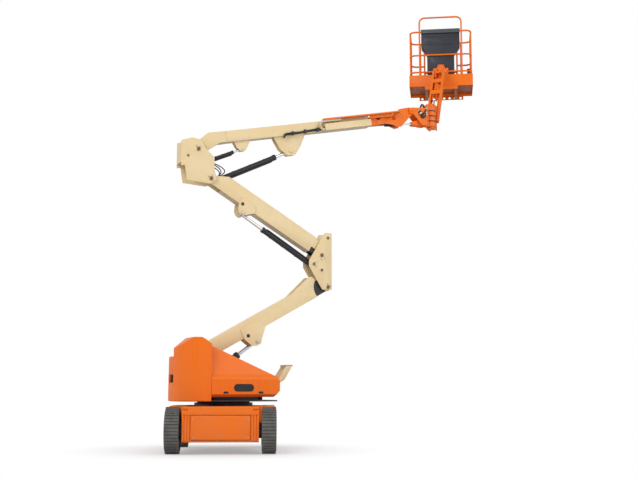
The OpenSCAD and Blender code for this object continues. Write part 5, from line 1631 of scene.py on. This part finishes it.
@dataclass
class Studio:
    """Pale floor, soft lamps and the camera at the photo's angle."""

    camera_at: Triple = (0.58, -17.4, 1.0)
    pitch_deg: float = 98.4
    yaw_deg: float = -3.4
    focal_px: float = 1015.0
    floor_half: float = 60.0
    floor_color: Triple = (0.80, 0.80, 0.81)
    floor_fade: tuple[float, float, float, float] = (1.0, 2.9, 0.35, 1.0)
    sky: float = 0.62
    aim: Triple = (1.0, 0.5, 3.5)
    lamps: Sequence[tuple[Triple, float, float]] = field(
        default_factory=lambda: [
            ((-9.0, -13.0, 14.0), 9.0, 1500.0),
            ((12.0, -9.0, 9.0), 9.0, 620.0),
            ((2.0, 12.0, 14.0), 10.0, 650.0),
        ]
    )

    def build(self) -> None:
        """Sets the camera, lamps, sky and floor."""
        scene = bpy.context.scene
        scene.view_settings.view_transform = "Standard"
        lens = bpy.data.cameras.new("camera")
        lens.sensor_width = SENSOR_MM
        lens.lens = self.focal_px / PHOTO_WIDTH_PX * SENSOR_MM
        lens.clip_end = 300.0
        camera = bpy.data.objects.new("camera", lens)
        camera.location = self.camera_at
        camera.rotation_euler = (math.radians(self.pitch_deg), 0.0, math.radians(self.yaw_deg))
        scene.collection.objects.link(camera)
        scene.camera = camera
        for number, (place, size, power) in enumerate(self.lamps):
            self.lamp(f"lamp_{number}", place, size, power)
        self.backdrop(scene)
        self.floor()

    def lamp(self, name: str, place: Triple, size: float, power: float) -> None:
        """Adds a square soft lamp that points at the middle of the machine."""
        light = bpy.data.lights.new(name, "AREA")
        light.size = size
        light.energy = power
        obj = bpy.data.objects.new(name, light)
        obj.location = place
        target = np.array(self.aim) - np.array(place)
        pitch = math.acos(-unit(target)[2])
        obj.rotation_euler = (pitch, 0.0, math.atan2(target[1], target[0]) - math.pi / 2.0)
        bpy.context.scene.collection.objects.link(obj)

    def seen(self, tree: bpy.types.NodeTree) -> Socket:
        """Returns one where a ray comes straight from the camera."""
        return tree.nodes.new("ShaderNodeLightPath").outputs["Is Camera Ray"]

    def backdrop(self, scene: bpy.types.Scene) -> None:
        """Makes the sky light the machine softly and show as white."""
        world = bpy.data.worlds.new("studio")
        scene.world = world
        world.use_nodes = True
        tree = world.node_tree
        glow = tree.nodes["Background"]
        strength = tree.nodes.new("ShaderNodeMapRange")
        strength.inputs["To Min"].default_value = self.sky
        strength.inputs["To Max"].default_value = 1.0
        tree.links.new(self.seen(tree), strength.inputs["Value"])
        tree.links.new(strength.outputs["Result"], glow.inputs["Strength"])
        glow.inputs["Color"].default_value = (1.0, 1.0, 1.0, 1.0)

    def floor(self) -> None:
        """Lays the pale floor, with part of its own light so that it meets the white behind."""
        corners = np.array(((-1, -1, 0), (1, -1, 0), (1, 1, 0), (-1, 1, 0)), float) * self.floor_half
        mesh = bpy.data.meshes.new("floor")
        mesh.from_pydata(corners.tolist(), [], [(0, 1, 2, 3)])
        obj = bpy.data.objects.new("floor", mesh)
        bpy.context.scene.collection.objects.link(obj)
        material = bpy.data.materials.new("floor_white")
        material.use_nodes = True
        tree = material.node_tree
        tree.nodes.clear()
        matte = tree.nodes.new("ShaderNodeBsdfDiffuse")
        matte.inputs["Color"].default_value = (*self.floor_color, 1.0)
        glow = tree.nodes.new("ShaderNodeEmission")
        blend = tree.nodes.new("ShaderNodeMixShader")
        place = tree.nodes.new("ShaderNodeTexCoord")
        reach = tree.nodes.new("ShaderNodeVectorMath")
        reach.operation = "LENGTH"
        tree.links.new(place.outputs["Object"], reach.inputs[0])
        fade = tree.nodes.new("ShaderNodeMapRange")
        fade.interpolation_type = "SMOOTHSTEP"
        for socket, value in zip(("From Min", "From Max", "To Min", "To Max"), self.floor_fade):
            fade.inputs[socket].default_value = value
        tree.links.new(reach.outputs["Value"], fade.inputs["Value"])
        share = tree.nodes.new("ShaderNodeMath")
        share.operation = "MULTIPLY"
        tree.links.new(fade.outputs["Result"], share.inputs[1])
        output = tree.nodes.new("ShaderNodeOutputMaterial")
        tree.links.new(self.seen(tree), share.inputs[0])
        tree.links.new(share.outputs["Value"], blend.inputs["Fac"])
        tree.links.new(matte.outputs["BSDF"], blend.inputs[1])
        tree.links.new(glow.outputs["Emission"], blend.inputs[2])
        tree.links.new(blend.outputs["Shader"], output.inputs["Surface"])
        mesh.materials.append(material)


def main() -> None:
    """Paints the nodes, builds each sub-assembly's added pieces and sets the studio."""
    logging.basicConfig(level=logging.INFO, format="%(name)s: %(message)s")
    SHOP.paint_nodes()
    parts = [EdgeSoftener(), PinHeads(), TailDress(), ChassisDress(), BoomLines(), ActuatorDress(), JibLines()]
    parts += [RootHoses(), LugPins(), FlyFiller()]
    parts += [SideHood(Side.NEAR, "near_hood", "near_door", plate=True), SideHood(Side.FAR, "far_hood", "far_door")]
    parts += [Console(), PlatformDress(), CrossBar()]
    parts += [
        RamDress("lower_ram", 0.054),
        RamDress("upper_ram", 0.046),
        RamDress("main_ram", 0.046),
        RamDress("master_ram", 0.030),
        RamDress("slave_ram", 0.030),
        RamDress("jib_ram", 0.026, jib=True),
    ]
    parts += [WheelDress(end, hand) for end in ("drive", "steer") for hand in ("left", "right")]
    parts += [Studio()]
    for part in parts:
        part.build()


if __name__ == "__main__":
    main()
